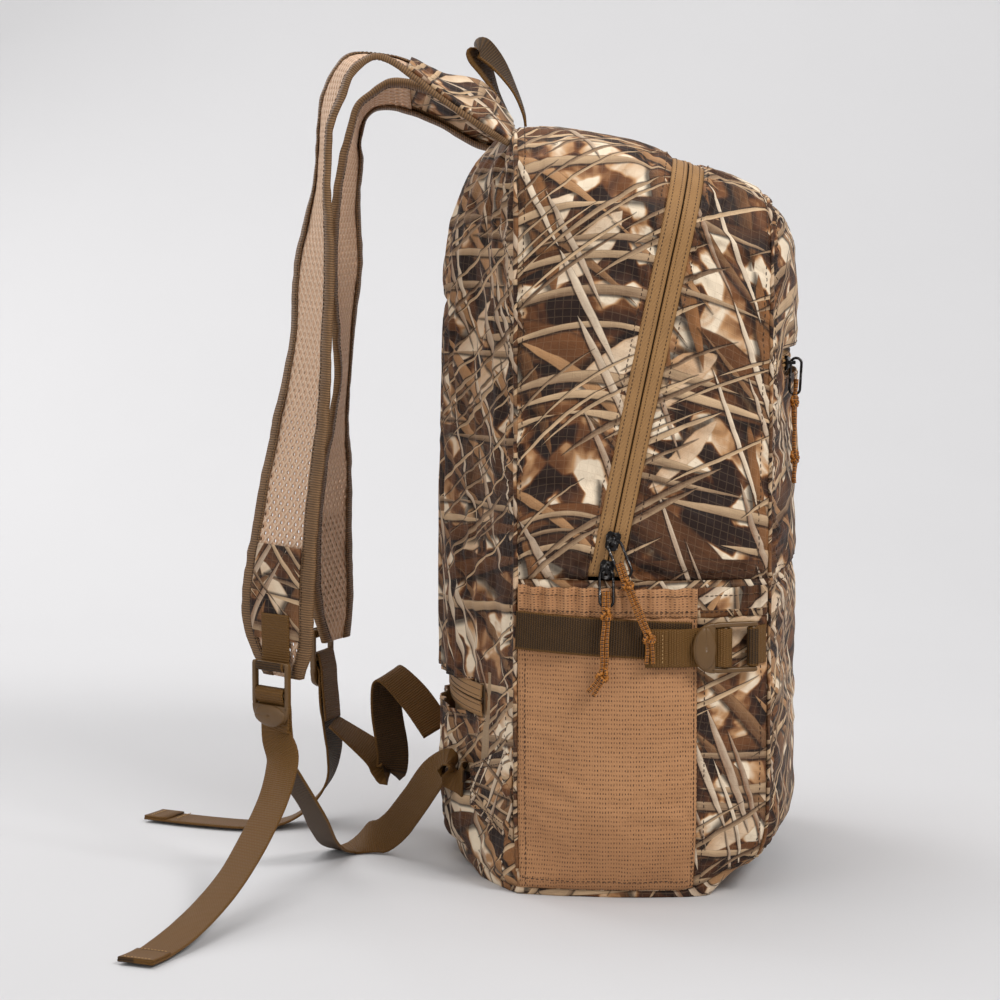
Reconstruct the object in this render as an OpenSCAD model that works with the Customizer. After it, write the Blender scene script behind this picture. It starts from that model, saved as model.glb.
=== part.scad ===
// Packable hunting backpack, standing on its base and stuffed to shape.
// Frame: +Z up, -Y is the front (away from the wearer), +Y is the wearer's side.
// The origin is at the middle of the base.
// Left means the -X side. All lengths are in millimetres.

/* [Body] */
// Height of the body at the top of its back seam
body_h = 498; // [470:2:520]
// Half the body's width at its seams
seam_half = 134; // [125:1:140]
// How far the sides bulge past the seams
side_bulge = 12; // [6:1:14]
// How far the back panel bulges past its seam
back_bulge = 45; // [35:1:48]
// How far the front panel bulges past its seam
front_bulge = 23; // [18:1:26]
// Radius of the two top corners, seen from the front
corner_r = 55; // [45:1:60]

/* [Fabric] */
// Thickness that stands for a sewn panel with its seam allowance
wall = 2; // [1.6:0.1:2.2]
// Thickness of webbing
web_t = 1.6; // [1.2:0.1:1.8]
// Width of webbing
web_w = 25; // [24:0.5:25.5]
// Depth of a side pocket when it is open
pocket_depth = 12; // [10:0.5:13]

/* [Hardware] */
// Width of the zip tape that shows on each side of the slit
tape_half = 11.4; // [10:0.2:12]
// Half the inner width of a ladder lock
lock_half = 13.2; // [13:0.1:14]
// Radius of the bar on which a ladder lock tilts
bar_r = 1.8; // [1.5:0.1:2]
// Wire radius of a pull ring
wire_r = 0.9; // [0.7:0.1:1]

/* [Hidden] */

camo = "#8a6a48";
mesh_tan = "#c59a72";
olive = "#5a4a22";
khaki = "#a58a5c";
buckle_tan = "#7d6238";
metal = "#2b2b2e";
cord_gold = "#8a5f22";

seam_back = 75;        // y of the back seam
seam_front = -90;      // y of the front seam
seam_inset = 2.5;      // a panel stops this far short of the seam, where its neighbour's thickness is
mid_y = (seam_back + seam_front) / 2;
half_depth = (seam_back - seam_front) / 2;
top_radius = 380;      // radius of the top, seen from the side
top_centre_y = 85;
split_z = 209;         // height of the seam above the pockets, where the lid folds
rim_z = 14;            // height at which the base pan meets the panels
tuck_h = 70;           // the lower edges tuck in below this height
tuck_share = 0.03;
zip_foot_y = 17.8;     // y of the main zip at split_z
zip_head_y = -38;      // y of the main zip on the top
lid_gap = 0.4;         // room between the two halves of the main zip
stash_z = 121;         // height of the stash pocket's zip
front_zip_z = 346;     // height of the front pocket's zip
pocket_split_y = -42;  // where the pocket's mesh meets its camouflage strip
hem_z = [187, 204];    // lower and upper edge of the pocket's hem
loft = 8;              // steps along a curved stretch of a panel
slim = 0.3;            // clearance between parts that move past each other

function lerp(a, b, t) = a + (b - a) * t;
function unit(v) = v / norm(v);
function clamp01(t) = min(1, max(0, t));
function tuck(z) = 1 - tuck_share * pow(max(0, 1 - z / tuck_h), 2);
function half_width(y) = seam_half + side_bulge * (1 - pow((y - mid_y) / half_depth, 2));
function top_z(y) = body_h + sqrt(pow(top_radius, 2) - pow(y - top_centre_y, 2)) - top_radius;
function rise(z0, y) =
  z0 < split_z ? z0 : split_z + (z0 - split_z) * (top_z(y) - split_z) / (body_h - split_z);
function zip_y(z0) = lerp(zip_foot_y, zip_head_y, clamp01((z0 - split_z) / (body_h - split_z)));

// The lower side, at y and z, offset outwards by o, on the left.
function side_pt(y, z, o) = [-(half_width(y) * tuck(z) + o), y * tuck(z), z];

// The arch runs up the left side (t 0 to 1), round the corner (1 to 2), over the top (2 to 3) and down.
function arch_z0(t) =
  let (s = min(t, 5 - t), straight = body_h - corner_r)
  s < 1 ? s * straight : s < 2 ? straight + corner_r * sin(90 * (s - 1)) : body_h;
function arch_x(t, w, r) =
  let (s = min(t, 5 - t),
       x = s < 1 ? w : s < 2 ? w - r + r * cos(90 * (s - 1)) : (w - r) * (1 - 2 * (s - 2)))
  t < 2.5 ? -x : x;
function arch_out(t) =
  let (s = min(t, 5 - t), a = s < 1 ? 0 : s < 2 ? 90 * (s - 1) : 90)
  [t < 2.5 ? -cos(a) : cos(a), 0, sin(a)];
function gusset_pt(t, y, o) =
  let (z0 = arch_z0(t))
  [arch_x(t, half_width(y), corner_r), y, rise(z0, y)] + o * arch_out(t);

// The arch's half width at height z0, for the back and front panels.
function arch_half(z0, w) =
  let (up = z0 - (body_h - corner_r))
  up <= 0 ? w : w - corner_r + sqrt(max(0, corner_r * corner_r - up * up));
function dome(z0, crown) =
  (1 - pow(1 - clamp01((body_h - z0) / crown), 2.5)) * (1 - 0.06 * pow(max(0, 1 - z0 / 60), 2));
function back_dome(z0) = dome(z0, 110);
function front_dome(z0) = dome(z0, 50);
function back_pt(u, z0, o) =
  [u * arch_half(z0, half_width(seam_back)) * tuck(z0),
   (seam_back + back_bulge * (1 - u * u) * back_dome(z0)) * tuck(z0) + o, rise(z0, seam_back)];
function front_pt(u, z0, o) =
  [u * arch_half(z0, half_width(seam_front)) * tuck(z0),
   (seam_front - front_bulge * (1 - u * u) * front_dome(z0)) * tuck(z0) - o, rise(z0, seam_front)];

// A side pocket's gap, widest at the middle and snug at its elastic hem.
function pocket_gap(y, z) =
  pocket_depth * (1 - pow(abs((y - mid_y) / (half_depth - 1)), 3)) * (1 - pow(max(0, (60 - z) / 46), 2))
  * (1 - 0.5 * clamp01((z - 60) / 144));

// Each shoulder strap's rows: x, y and z of its middle, y and z of the step to its outer edge, half width.
STRAP_LEFT = [
  [-70, 78.5, 496, 0, -7, 29], [-72, 98, 514.5, 0, -13, 30], [-74, 124, 526.5, 0, -6.4, 31],
  [-76, 147, 541, 0, -3, 31], [-77, 164, 547, -1, -1, 31], [-78, 179.5, 545, -5.6, -3.2, 31],
  [-79, 189, 535.5, -7, -1.5, 31],
  [-80, 195.5, 520, -8, 0, 31], [-81, 200, 500, -5.5, 0, 31], [-82, 202, 466, -5.5, 0, 31],
  [-83, 204.5, 440, -9, 0, 31], [-85, 208, 405, -13.5, 0, 32], [-87, 210, 360, -14, 0, 32],
  [-89, 215.5, 315, -17.5, 0, 32], [-91, 223, 270, -20, 0, 32.5], [-93, 229, 225, -22, 0, 33],
  [-94, 232.4, 188, -24, 0, 32], [-95, 231.5, 163, -22, 0, 29], [-96, 228.5, 138, -13, 0, 18]
];
STRAP_RIGHT = [
  [70, 79, 493.5, 0, -8, 29], [72, 100, 501, 0, -13, 30], [74, 128, 515, 0, -11, 31],
  [76, 150, 523, 0, -10, 31], [77, 164, 524.5, 1, -8.5, 31], [78, 175, 520, 1, -6, 31],
  [79, 184, 511, -1, -5, 31], [80, 189, 494, -2, -4, 31],
  [81, 191, 477, -5.5, -1.5, 31], [82, 194.5, 445, -7, 0, 31], [84, 195, 405, -9, 0, 32],
  [86, 196.7, 365, -5.5, 0, 32], [88, 197.5, 325, -3, 0, 32], [90, 201.5, 288, -4.5, 0, 32],
  [92, 204, 255, -9, 0, 32.5], [93, 206, 225, -11, 0, 33], [94, 206.8, 185, -12, 0, 32],
  [95, 205.5, 155, -11.5, 0, 29], [96, 204, 132, -8, 0, 18]
];
strap_end = len(STRAP_LEFT) - 1;
strap_t = 2.4;            // thickness of the spacer mesh

// Smooth curve through rows: Catmull-Rom, at t from 0 to the last row's number.
function row_at(rows, t) =
  let (i = min(len(rows) - 2, max(0, floor(t))), f = t - i,
       a = rows[max(0, i - 1)], b = rows[i], c = rows[i + 1], d = rows[min(len(rows) - 1, i + 2)])
  0.5 * ((2 * b) + (c - a) * f + (2 * a - 5 * b + 4 * c - d) * f * f + (3 * b - a - 3 * c + d) * f * f * f);
function steps(t0, t1, n) = [for (i = [0:n]) lerp(t0, t1, i / n)];

// A point on a strap: a across it (1 is the outer edge), o out from its middle layer, away from the pack.
function strap_edge(r) = [sign(r[0]) * sqrt(max(1, r[5] * r[5] - r[3] * r[3] - r[4] * r[4])), r[3], r[4]];
function strap_pt(rows, t, a, o) =
  let (r = row_at(rows, t), e = strap_edge(r), near = 0.05,
       ahead = row_at(rows, min(strap_end, t + near)), behind = row_at(rows, max(0, t - near)),
       along = [ahead[0] - behind[0], ahead[1] - behind[1], ahead[2] - behind[2]],
       n = sign(r[0]) * unit(cross(e, along)))
  [r[0], r[1], r[2]] + a * e + o * n;

// Free webbing: x, y and z of its middle, then x, y and z of the step to one edge.
LOWER_LEFT = [
  [-77, 110, 62, 0, 3, 12], [-70, 115, 67, 6, 4, 10], [-66, 121, 74, 11, 4, 4],
  [-58, 132, 62, 8, 6, 7], [-40, 145, 40, 7, 6, 8], [-20, 160, 18, 8, 7, 6],
  [-8, 180, 4, 9, 8, 1], [-15, 196, 3, 9, 9, 0], [-42, 205, 18, 9, 8, 1], [-74, 212, 44, 9, 8, 0]
];
LOWER_RIGHT = [
  [66, 130, 71, 7, -7, 7], [72, 145, 92, 7, -7, 7], [80, 163, 109, 9, -7, 5], [86, 168, 103, 8, -9, 2],
  [87, 167, 80, 6, -11, 1], [88, 163, 52, 5, -11.5, 1], [88, 164, 37, 5, -11.5, 1],
  [88, 168, 40, 6, -11, 1], [89, 176, 50, 8, -9.6, 1]
];
TAIL_LEFT = [
  [-106, 229, 86, 7, 10.4, -1], [-118, 230, 74, 6, 11, -2], [-133, 234, 61, 6, 11, -2],
  [-155, 241, 47, 5, 11.3, -2], [-190, 252, 30, 5, 11.3, -2], [-225, 265, 17, 4.8, 11.5, -1],
  [-265, 280, 8, 4.6, 11.6, 0], [-295, 294, 3, 4.6, 11.6, 0], [-315, 303, 3, 4.6, 11.6, 0]
];
TAIL_RIGHT = [
  [97, 209, 80, 11, -5, 1], [98, 207, 66, 11, -5, 3], [96, 206, 50, 11, -4, 4],
  [88, 210, 30, 12, -2, 2], [80, 222, 14, 12.2, -2, 1], [72, 238, 5, 12.2, -3, 0],
  [64, 262, 3, 12.1, -3.4, 0], [76, 300, 3, 12, 3, 0], [95, 337, 3, 11, 5.5, 0]
];

// Where each shoulder ladder lock hangs: the middle of its bar, and its turn about Z.
lock_at = [[-100, 236, 146], [94, 213.6, 139]];
lock_turn = [50, -22];
// How far each buckle's webbing stands behind it: local y and z down the standing leg and round the bar.
PASS = [
  [-8, -66], [-7.8, -64], [-6.5, -48], [-5.4, -38], [-4.9, -28], [-3.6, -21], [-2.4, -16.2], [0, -15],
  [2.4, -16.2], [3.3, -19], [2, -22.5], [-2.3, -27.6], [-2.9, -34], [-3.1, -40], [-3.4, -48]
];

// A cloth between two grids of points, one for each face.
module cloth(outer, inner) {
  rows = len(outer);
  cols = len(outer[0]);
  k = rows * cols;
  points = [for (grid = [outer, inner]) for (row = grid) each row];
  function at(i, j) = i * cols + j;
  sheet = [for (i = [0:rows - 2], j = [0:cols - 2])
    each [[at(i, j), at(i, j + 1), at(i + 1, j + 1)], [at(i, j), at(i + 1, j + 1), at(i + 1, j)]]];
  back = [for (f = sheet) [f[0] + k, f[2] + k, f[1] + k]];
  low = [for (j = [0:cols - 2])
    each [[at(0, j) + k, at(0, j + 1), at(0, j)], [at(0, j) + k, at(0, j + 1) + k, at(0, j + 1)]]];
  high = [for (j = [0:cols - 2], i = [rows - 1])
    each [[at(i, j), at(i, j + 1), at(i, j) + k], [at(i, j + 1), at(i, j + 1) + k, at(i, j) + k]]];
  near = [for (i = [0:rows - 2])
    each [[at(i, 0), at(i + 1, 0), at(i, 0) + k], [at(i + 1, 0), at(i + 1, 0) + k, at(i, 0) + k]]];
  far = [for (i = [0:rows - 2], j = [cols - 1])
    each [[at(i, j) + k, at(i + 1, j), at(i, j)], [at(i, j) + k, at(i + 1, j) + k, at(i + 1, j)]]];
  polyhedron(points, concat(sheet, back, low, high, near, far));
}

// A closed tube through rings of points, with flat ends.
module tube(rings) {
  n = len(rings[0]);
  m = len(rings);
  wall_faces = [for (i = [0:m - 2], j = [0:n - 1], next = [(j + 1) % n])
    each [[i * n + j, i * n + next, (i + 1) * n + next], [i * n + j, (i + 1) * n + next, (i + 1) * n + j]]];
  polyhedron([for (r = rings) each r],
    concat(wall_faces, [[for (j = [n - 1:-1:0]) j]], [[for (j = [0:n - 1]) (m - 1) * n + j]]));
}

function grid_of(ts, us, f) = [for (t = ts) [for (u = us) f(t, u)]];

module ribbon(rows, per_row = 3, thick = web_t) {
  last = len(rows) - 1;
  ts = steps(0, last, last * per_row);
  function middle(t) = let (r = row_at(rows, t)) [r[0], r[1], r[2]];
  function edge(t) = let (r = row_at(rows, t)) unit([r[3], r[4], r[5]]) * web_w / 2;
  function out(t) = unit(cross(edge(t), middle(min(last, t + 0.1)) - middle(max(0, t - 0.1))));
  cloth([for (t = ts) [for (a = [-1, 1]) middle(t) + a * edge(t) + thick / 2 * out(t)]],
        [for (t = ts) [for (a = [-1, 1]) middle(t) + a * edge(t) - thick / 2 * out(t)]]);
}

module mirror_right() { mirror([1, 0, 0]) children(); }

// ---- Body panels ----

module back_panel() {
  zs = steps(rim_z + 0.3, body_h, 16);
  us = steps(1, -1, 12);
  slot = [stash_z - 11, stash_z + 11];
  color(camo) difference() {
    cloth(grid_of(zs, us, function (z, u) back_pt(u, z, 0)),
          grid_of(zs, us, function (z, u) back_pt(u, z, -wall)));
    translate([-95, seam_back - 10, slot[0]]) cube([190, 80, slot[1] - slot[0]]);
  }
}

module side_panel_left() {
  zs = steps(rim_z + 0.3, split_z - 0.3, 6);
  ys = steps(seam_front + seam_inset, seam_back - seam_inset, 8);
  color(camo) cloth(grid_of(zs, ys, function (z, y) side_pt(y, z, -wall)),
                    grid_of(zs, ys, function (z, y) side_pt(y, z, 0)));
}

module front_panel(z_low, z_high, rows) {
  zs = steps(z_low, z_high, rows);
  us = steps(1, -1, 12);
  cloth(grid_of(zs, us, function (z, u) front_pt(u, z, -wall)),
        grid_of(zs, us, function (z, u) front_pt(u, z, 0)));
}

module front_panel_lower() { color(camo) front_panel(rim_z + 0.3, split_z - 0.3, 5); }

module front_panel_upper() {
  color(camo) difference() {
    front_panel(split_z + 0.3, body_h, 12);
    translate([-98, seam_front - 60, front_zip_z - 9]) cube([196, 70, 18]);
  }
}

// The base pan: rings of the body's outline, drawn in and lowered towards the flat bottom.
module base_panel() {
  ys = steps(seam_front, seam_back, 8);
  us = steps(-1, 1, 10);
  outline = concat(
    [for (i = [1:len(ys) - 1]) side_pt(ys[i], rim_z, 0)],
    [for (i = [1:len(us) - 1]) back_pt(us[i], rim_z, 0)],
    [for (i = [len(ys) - 2:-1:0]) let (p = side_pt(ys[i], rim_z, 0)) [-p[0], p[1], p[2]]],
    [for (i = [len(us) - 2:-1:0]) front_pt(us[i], rim_z, 0)]);
  n = len(outline);
  function ring(share, z) = [for (p = outline) [p[0] * share, p[1] * share, z]];
  rings = [ring(1, rim_z), ring(0.994, 7), ring(0.97, 2), ring(0.935, 0),
           ring(0.93, wall), ring(0.96, wall + 1.8), ring(0.978, 8), ring(0.984, rim_z)];
  walls = [for (i = [0, 1, 2, 4, 5, 6, 7], j = [0:n - 1], next = [(j + 1) % n], up = [(i + 1) % 8])
    each [[i * n + j, up * n + next, i * n + next], [i * n + j, up * n + j, up * n + next]]];
  color(camo) polyhedron([for (r = rings) each r],
    concat(walls, [[for (j = [n - 1:-1:0]) 3 * n + j]], [[for (j = [0:n - 1]) 4 * n + j]]));
}

// The gusset runs up one side, over the top and down the other, behind (rear) or ahead of the main zip.
function gusset_ts() =
  let (foot = (split_z + 0.4) / (body_h - corner_r))
  concat(steps(foot, 1, 5), [for (i = [1:loft]) 1 + i / loft], [for (i = [1:4]) 2 + i / 4],
         [for (i = [1:loft]) 3 + i / loft], [for (i = [1:5]) lerp(4, 5 - foot, i / 5)]);
module gusset(y_low, y_high, o_low, o_high, cols) {
  ts = gusset_ts();
  function y_of(t, f) = lerp(y_low(t), y_high(t), f);
  cloth([for (t = ts) [for (f = steps(0, 1, cols)) gusset_pt(t, y_of(t, f), o_low)]],
        [for (t = ts) [for (f = steps(0, 1, cols)) gusset_pt(t, y_of(t, f), o_high)]]);
}

module rear_gusset() {
  color(camo) gusset(function (t) zip_y(arch_z0(t)) + tape_half, function (t) seam_back - seam_inset,
                     -wall, 0, 4);
}

module front_gusset() {
  color(camo) gusset(function (t) seam_front + seam_inset, function (t) zip_y(arch_z0(t)) - tape_half,
                     -wall, 0, 3);
}

module main_zip_tape_rear() {
  color(khaki) gusset(function (t) zip_y(arch_z0(t)) + lid_gap,
                      function (t) zip_y(arch_z0(t)) + tape_half - 0.2, -1.6, -0.1, 1);
}

module main_zip_tape_front() {
  color(khaki) gusset(function (t) zip_y(arch_z0(t)) - tape_half + 0.2,
                      function (t) zip_y(arch_z0(t)) - lid_gap, -1.6, -0.1, 1);
}

// Bound seam allowance inside the back seam, a U from one side over the top to the other.
module seam_binding_back() {
  ts = concat(steps(0.06, 1, 8), [for (i = [1:loft]) 1 + i / loft], [for (i = [1:4]) 2 + i / 4],
              [for (i = [1:loft]) 3 + i / loft], [for (i = [1:8]) lerp(4, 4.94, i / 8)]);
  depth = [-3, -9];
  y = seam_back - 6;
  function at(t, o, dy) =
    let (z0 = arch_z0(t), k = tuck(z0))
    [arch_x(t, half_width(y), corner_r) * k, (y + dy) * k, rise(z0, y)] + o * arch_out(t);
  color(khaki) cloth([for (t = ts) [at(t, depth[1], 0), at(t, depth[0], 0)]],
                     [for (t = ts) [at(t, depth[1], 1.2), at(t, depth[0], 1.2)]]);
}

// ---- Back and front pocket zips ----

module zip_panel(half_w, z_low, z_high, o_low, o_high, f) {
  xs = steps(-half_w, half_w, 16);
  zs = [z_low, z_high];
  cloth(grid_of(xs, zs, function (x, z) f(x, z, o_low)), grid_of(xs, zs, function (x, z) f(x, z, o_high)));
}
function back_at(x, z, o) = back_pt(x / (arch_half(z, half_width(seam_back)) * tuck(z)), z, o);
function front_z0(z) = split_z + (z - split_z) * (body_h - split_z) / (top_z(seam_front) - split_z);
function front_at(x, z, o) =
  let (z0 = front_z0(z)) front_pt(x / arch_half(z0, half_width(seam_front)), z0, o);

module stash_zip_tape() {
  for (z = [[stash_z - 10.8, stash_z - 0.2], [stash_z + 0.2, stash_z + 10.8]])
    color(khaki) zip_panel(94.5, z[0], z[1], -0.1, -1.6, function (x, z, o) back_at(x, z, o));
}

module front_zip_tape() {
  for (z = [[front_zip_z - 8.8, front_zip_z - 0.2], [front_zip_z + 0.2, front_zip_z + 8.8]])
    color(khaki) zip_panel(97.5, z[0], z[1], -1.6, -0.1, function (x, z, o) front_at(x, z, o));
}

// Liner bags that hang inside, behind each pocket's zip: one folded sheet each, open at the zip.
module stash_pocket_bag() {
  color(khaki) for (o = [[-3.2, -4.2], [-9, -10]])
    zip_panel(100, 20, stash_z + 20, o[0], o[1], function (x, z, o) back_at(x, z, o));
}
module front_pocket_bag() {
  color(khaki) for (o = [[-4.2, -3.2], [-10, -9]])
    zip_panel(100, split_z + 12, front_zip_z + 16, o[0], o[1], function (x, z, o) front_at(x, z, o));
}

// ---- Side pockets ----

module pocket_cloth(y_low, y_high, z_low, z_high, o_low, o_high, cols, rows) {
  zs = steps(z_low, z_high, rows);
  ys = steps(y_low, y_high, cols);
  cloth(grid_of(zs, ys, function (z, y) side_pt(y, z, pocket_gap(y, z) + o_low)),
        grid_of(zs, ys, function (z, y) side_pt(y, z, pocket_gap(y, z) + o_high)));
}
module pocket_mesh_left() {
  color(mesh_tan)
    pocket_cloth(pocket_split_y + 0.2, seam_back - 3, rim_z + 0.5, hem_z[0] - 0.2, 0.3, 1.7, 9, 9);
}
module pocket_strip_left() {
  color(camo) pocket_cloth(seam_front + 3, pocket_split_y - 0.2, rim_z + 0.5, hem_z[0] - 0.2, 0.3, 1.7, 4, 9);
}
module pocket_hem_left() {
  color(mesh_tan) pocket_cloth(seam_front + 3, seam_back - 3, hem_z[0], hem_z[1], 0.3, 2.7, 12, 2);
}

// ---- Compression straps ----

comp_z = 176;        // height of the strap at the back seam
comp_drop = 0.045;   // how far it falls for each millimetre forwards
comp_lock_y = -78;   // y of the bar that holds the ladder lock
function comp_height(y) = comp_z - comp_drop * (seam_back - y);
function comp_pt(y, dz, o) = side_pt(y, comp_height(y), pocket_gap(y, comp_height(y)) + o) + [0, 0, dz];
comp_lock_x = -150;
comp_turn = 16;      // the lock lies along the pocket's curve

module comp_run(y_low, y_high, o, cols) {
  ys = steps(y_low, y_high, cols);
  zs = [-web_w / 2, web_w / 2];
  color(olive) cloth([for (dz = zs) [for (y = ys) comp_pt(y, dz, o)]],
                     [for (dz = zs) [for (y = ys) comp_pt(y, dz, o + web_t)]]);
}
module comp_strap_left() { comp_run(-38, seam_back - 2.6, 3.2, 14); }

// Local frame of a compression lock: length along +Y, outwards -X.
module at_comp_lock() {
  translate([comp_lock_x, comp_lock_y, comp_height(comp_lock_y) - 2]) rotate([0, 0, 90 + comp_turn])
    rotate([0, -90, 0]) children();
}

// ---- Ladder lock: bar at the origin, body down to -Z, outwards +Y ----

lock_t = 5;
rail = 3.2;
lever_z = -28;
lock_foot = -41;
lock_top = 2.6;
function lock_outline() =
  let (w = lock_half + rail)
  concat([[-w, lock_top], [-w, -24]], [for (a = [180:12:360]) [w * cos(a), -24 + (lock_foot + 24) * -sin(a)]],
         [[w, lock_top]]);
module ladder_lock() {
  color(buckle_tan) union() {
    difference() {
      rotate([90, 0, 0]) translate([0, 0, -lock_t / 2]) linear_extrude(lock_t) polygon(lock_outline());
      translate([-lock_half, -lock_t, lever_z]) cube([2 * lock_half, 2 * lock_t, 10 - lever_z]);
      translate([-lock_half, -lock_t, lock_foot - 1]) cube([2 * lock_half, 2 * lock_t - lock_t - 1.3, 60]);
    }
    for (z = [0, -19])
      translate([0, 0, z]) rotate([0, 90, 0])
        cylinder(r = bar_r, h = 2 * lock_half + 2, center = true, $fn = 32);
  }
}

// The webbing through a ladder lock, in its local frame, from rows of PASS.
function pass_rows(from, to) = [for (i = [from:to]) [0, PASS[i][0], PASS[i][1], web_w / 2, 0, 0]];

// The loop of fixed webbing round a lock's bar: down behind, round and up a little in front.
BAR_LOOP = [[-2.9, -0.5], [-1.6, -2.6], [0, -3.1], [1.8, -2.4], [2.9, 0], [2.7, 2.6]];
SHOULDER_TAB = [[-3.4, 34], [-3.6, 20], [-3.8, 8], [-3.3, 3.2]];
SIDE_TAB = [[-9.8, 12.5], [-6.3, 7.5], [-3.9, 3.2]];
module tab_loop(lead) {
  color(olive) ribbon([for (p = concat(lead, BAR_LOOP)) [0, p[0], p[1], web_w / 2, 0, 0]], 2, 1.2);
}

module comp_lock_left() { at_comp_lock() ladder_lock(); }
module comp_anchor_left() { at_comp_lock() tab_loop(SIDE_TAB); }
COMP_END = [for (p = [[-5.2, -54], [-7.4, -62], [-9.3, -70]]) [0, p[0], p[1], web_w / 2, 0, 0]];
module comp_tail_left() {
  color(olive) at_comp_lock() ribbon(concat(pass_rows(3, 14), COMP_END), 2);
}

// ---- Zip sliders and pulls ----

slider_w = 9.5;
slider_l = 13;
plate_t = 2;
bridge_h = 4.6;
bridge_z = [-3.7, 4];
// Slider: travels along Z, outwards +Y, its plate's underside at y = 0.
module slider() {
  color(metal) union() {
    translate([-slider_w / 2, 0, -slider_l / 2]) cube([slider_w, plate_t, slider_l - 3]);
    translate([0, 0, slider_l / 2 - 4]) rotate([-90, 0, 0])
      cylinder(r = slider_w / 2 - 0.8, h = plate_t, $fn = 32);
    for (z = [bridge_z[0], bridge_z[1] - 1.3])
      translate([-0.9, plate_t - 0.5, z]) cube([1.8, bridge_h - 0.7, 1.3]);
    translate([-0.9, plate_t + bridge_h - 1.6, bridge_z[0]]) cube([1.8, 1.4, bridge_z[1] - bridge_z[0]]);
  }
}
ring_r = 4.4;
ring_l = 17;
ring_y = plate_t + 1.5;      // height of the ring's wire over the plate's underside
// Pull ring: its wire passes the bridge at the origin, and it hangs down -Z in the XZ plane.
module pull_ring(r) {
  color(metal) translate([0, 0, -r]) rotate([90, 0, 0]) union() {
    rotate_extrude(angle = 180, $fn = 48) translate([r, 0]) circle(wire_r, $fn = 20);
    translate([0, -ring_l, 0]) rotate([0, 0, 180]) rotate_extrude(angle = 180, $fn = 48)
      translate([r, 0]) circle(wire_r, $fn = 20);
    for (x = [-r, r]) translate([x, 0, 0]) rotate([90, 0, 0]) cylinder(r = wire_r, h = ring_l, $fn = 20);
  }
}
// On a level zip the ring stands across the zip, with the bridge's bar inside its upper end.
level_ring_r = 3.5;
level_ring_y = 6.8;
level_ring_top = 3;
level_ring_lean = 3;       // its lower end hangs a little nearer the panel

// Each slider's place: position, turn about Z, tilt about the outward axis. Its ring hangs at its own angle.
zip_tilt = atan((zip_foot_y - zip_head_y) / (top_z(zip_head_y) - split_z));
function zip_spot(z) =
  let (y = zip_foot_y - (z - split_z) * tan(zip_tilt)) [-(seam_half + side_bulge + slim - 0.1), y, z];
front_spot = front_at(-84, front_zip_z, slim);
stash_spot = back_at(62, stash_z, slim);
front_arc_turn = atan2(front_at(-83, front_zip_z, 0)[1] - front_at(-85, front_zip_z, 0)[1], 2);
stash_arc_turn = atan2(back_at(63, stash_z, 0)[1] - back_at(61, stash_z, 0)[1], 2);

module at_main(z) { translate(zip_spot(z)) rotate([zip_tilt, 0, 0]) rotate([0, 0, 90]) children(); }
module at_front() { translate(front_spot) rotate([0, 0, 180 + front_arc_turn]) children(); }
module at_stash() { translate(stash_spot) rotate([0, 0, stash_arc_turn]) children(); }
upper_z = 235;
lower_z = 216.5;
module ring_main(z, swing, lean) {
  at_main(z) translate([0.3, ring_y - 0.1, 0.6]) rotate([lean, swing, 0]) pull_ring(ring_r);
}
module ring_level() {
  translate([0.1, level_ring_y, level_ring_top]) rotate([-level_ring_lean, 0, 0]) rotate([0, 0, 90])
    pull_ring(level_ring_r);
}

module zip_slider_upper() { at_main(upper_z) slider(); }
module zip_slider_lower() { at_main(lower_z) slider(); }
module zip_slider_front() { at_front() rotate([0, 90, 0]) slider(); }
module zip_slider_stash() { at_stash() rotate([0, 90, 0]) slider(); }
module pull_ring_upper() { ring_main(upper_z, 34, 20); }
module pull_ring_lower() { ring_main(lower_z, 11, 25); }
module pull_ring_front() { at_front() ring_level(); }
module pull_ring_stash() { at_stash() ring_level(); }

// Pull cords: a doubled cord with a knot. Each row is x, y, z and the radius there.
CORD_R = 2.6;
KNOT_R = 4.6;
CORD_UPPER = [
  [-155.6, 8.6, 222], [-159, 5, 212], [-160.5, 1, 203], [-162.8, -3, 193], [-165.3, -7, 183],
  [-166.8, -10, 176], [-166, -11, 168], [-165, -11, 158]
];
CORD_LOWER = [
  [-157.5, 16.8, 204], [-161.6, 17, 193], [-162.5, 17, 183], [-163, 18, 172], [-163, 18, 160],
  [-163.5, 19, 151], [-163.5, 22, 145], [-163, 27, 138]
];
CORD_FRONT = [
  [-85.4, -110.7, 335], [-85.4, -110, 324], [-85.3, -109.8, 313], [-85.2, -109.8, 303],
  [-85.1, -110, 292], [-85, -110.3, 284], [-85, -110.3, 276], [-85, -110, 266]
];
CORD_STASH = [
  [64, 116.6, 110], [63.8, 115.8, 99], [63.6, 115.4, 87], [63.5, 115.2, 75], [63.5, 115.2, 65],
  [63.5, 115.2, 57], [63.5, 115, 49], [63.5, 114, 40]
];
cord_radii = [CORD_R, CORD_R, CORD_R, CORD_R, CORD_R, KNOT_R, KNOT_R - 1, CORD_R];
module pull_cord(rows) {
  n = 8;
  per = 2;
  radii = [for (i = [0:len(rows) - 1]) [rows[i][0], rows[i][1], rows[i][2], cord_radii[i]]];
  ts = steps(0, len(rows) - 1, (len(rows) - 1) * per);
  color(cord_gold) tube([for (t = ts) let (
    r = row_at(radii, t),
    a = row_at(radii, min(len(rows) - 1, t + 0.1)), b = row_at(radii, max(0, t - 0.1)),
    along = unit([a[0] - b[0], a[1] - b[1], a[2] - b[2]]),
    u = unit(cross(along, [0, 1, 0.2])), v = cross(along, u))
    [for (i = [0:n - 1]) [r[0], r[1], r[2]] + r[3] * (cos(i * 360 / n) * u + sin(i * 360 / n) * v)]]);
}

// ---- Shoulder straps ----

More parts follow.
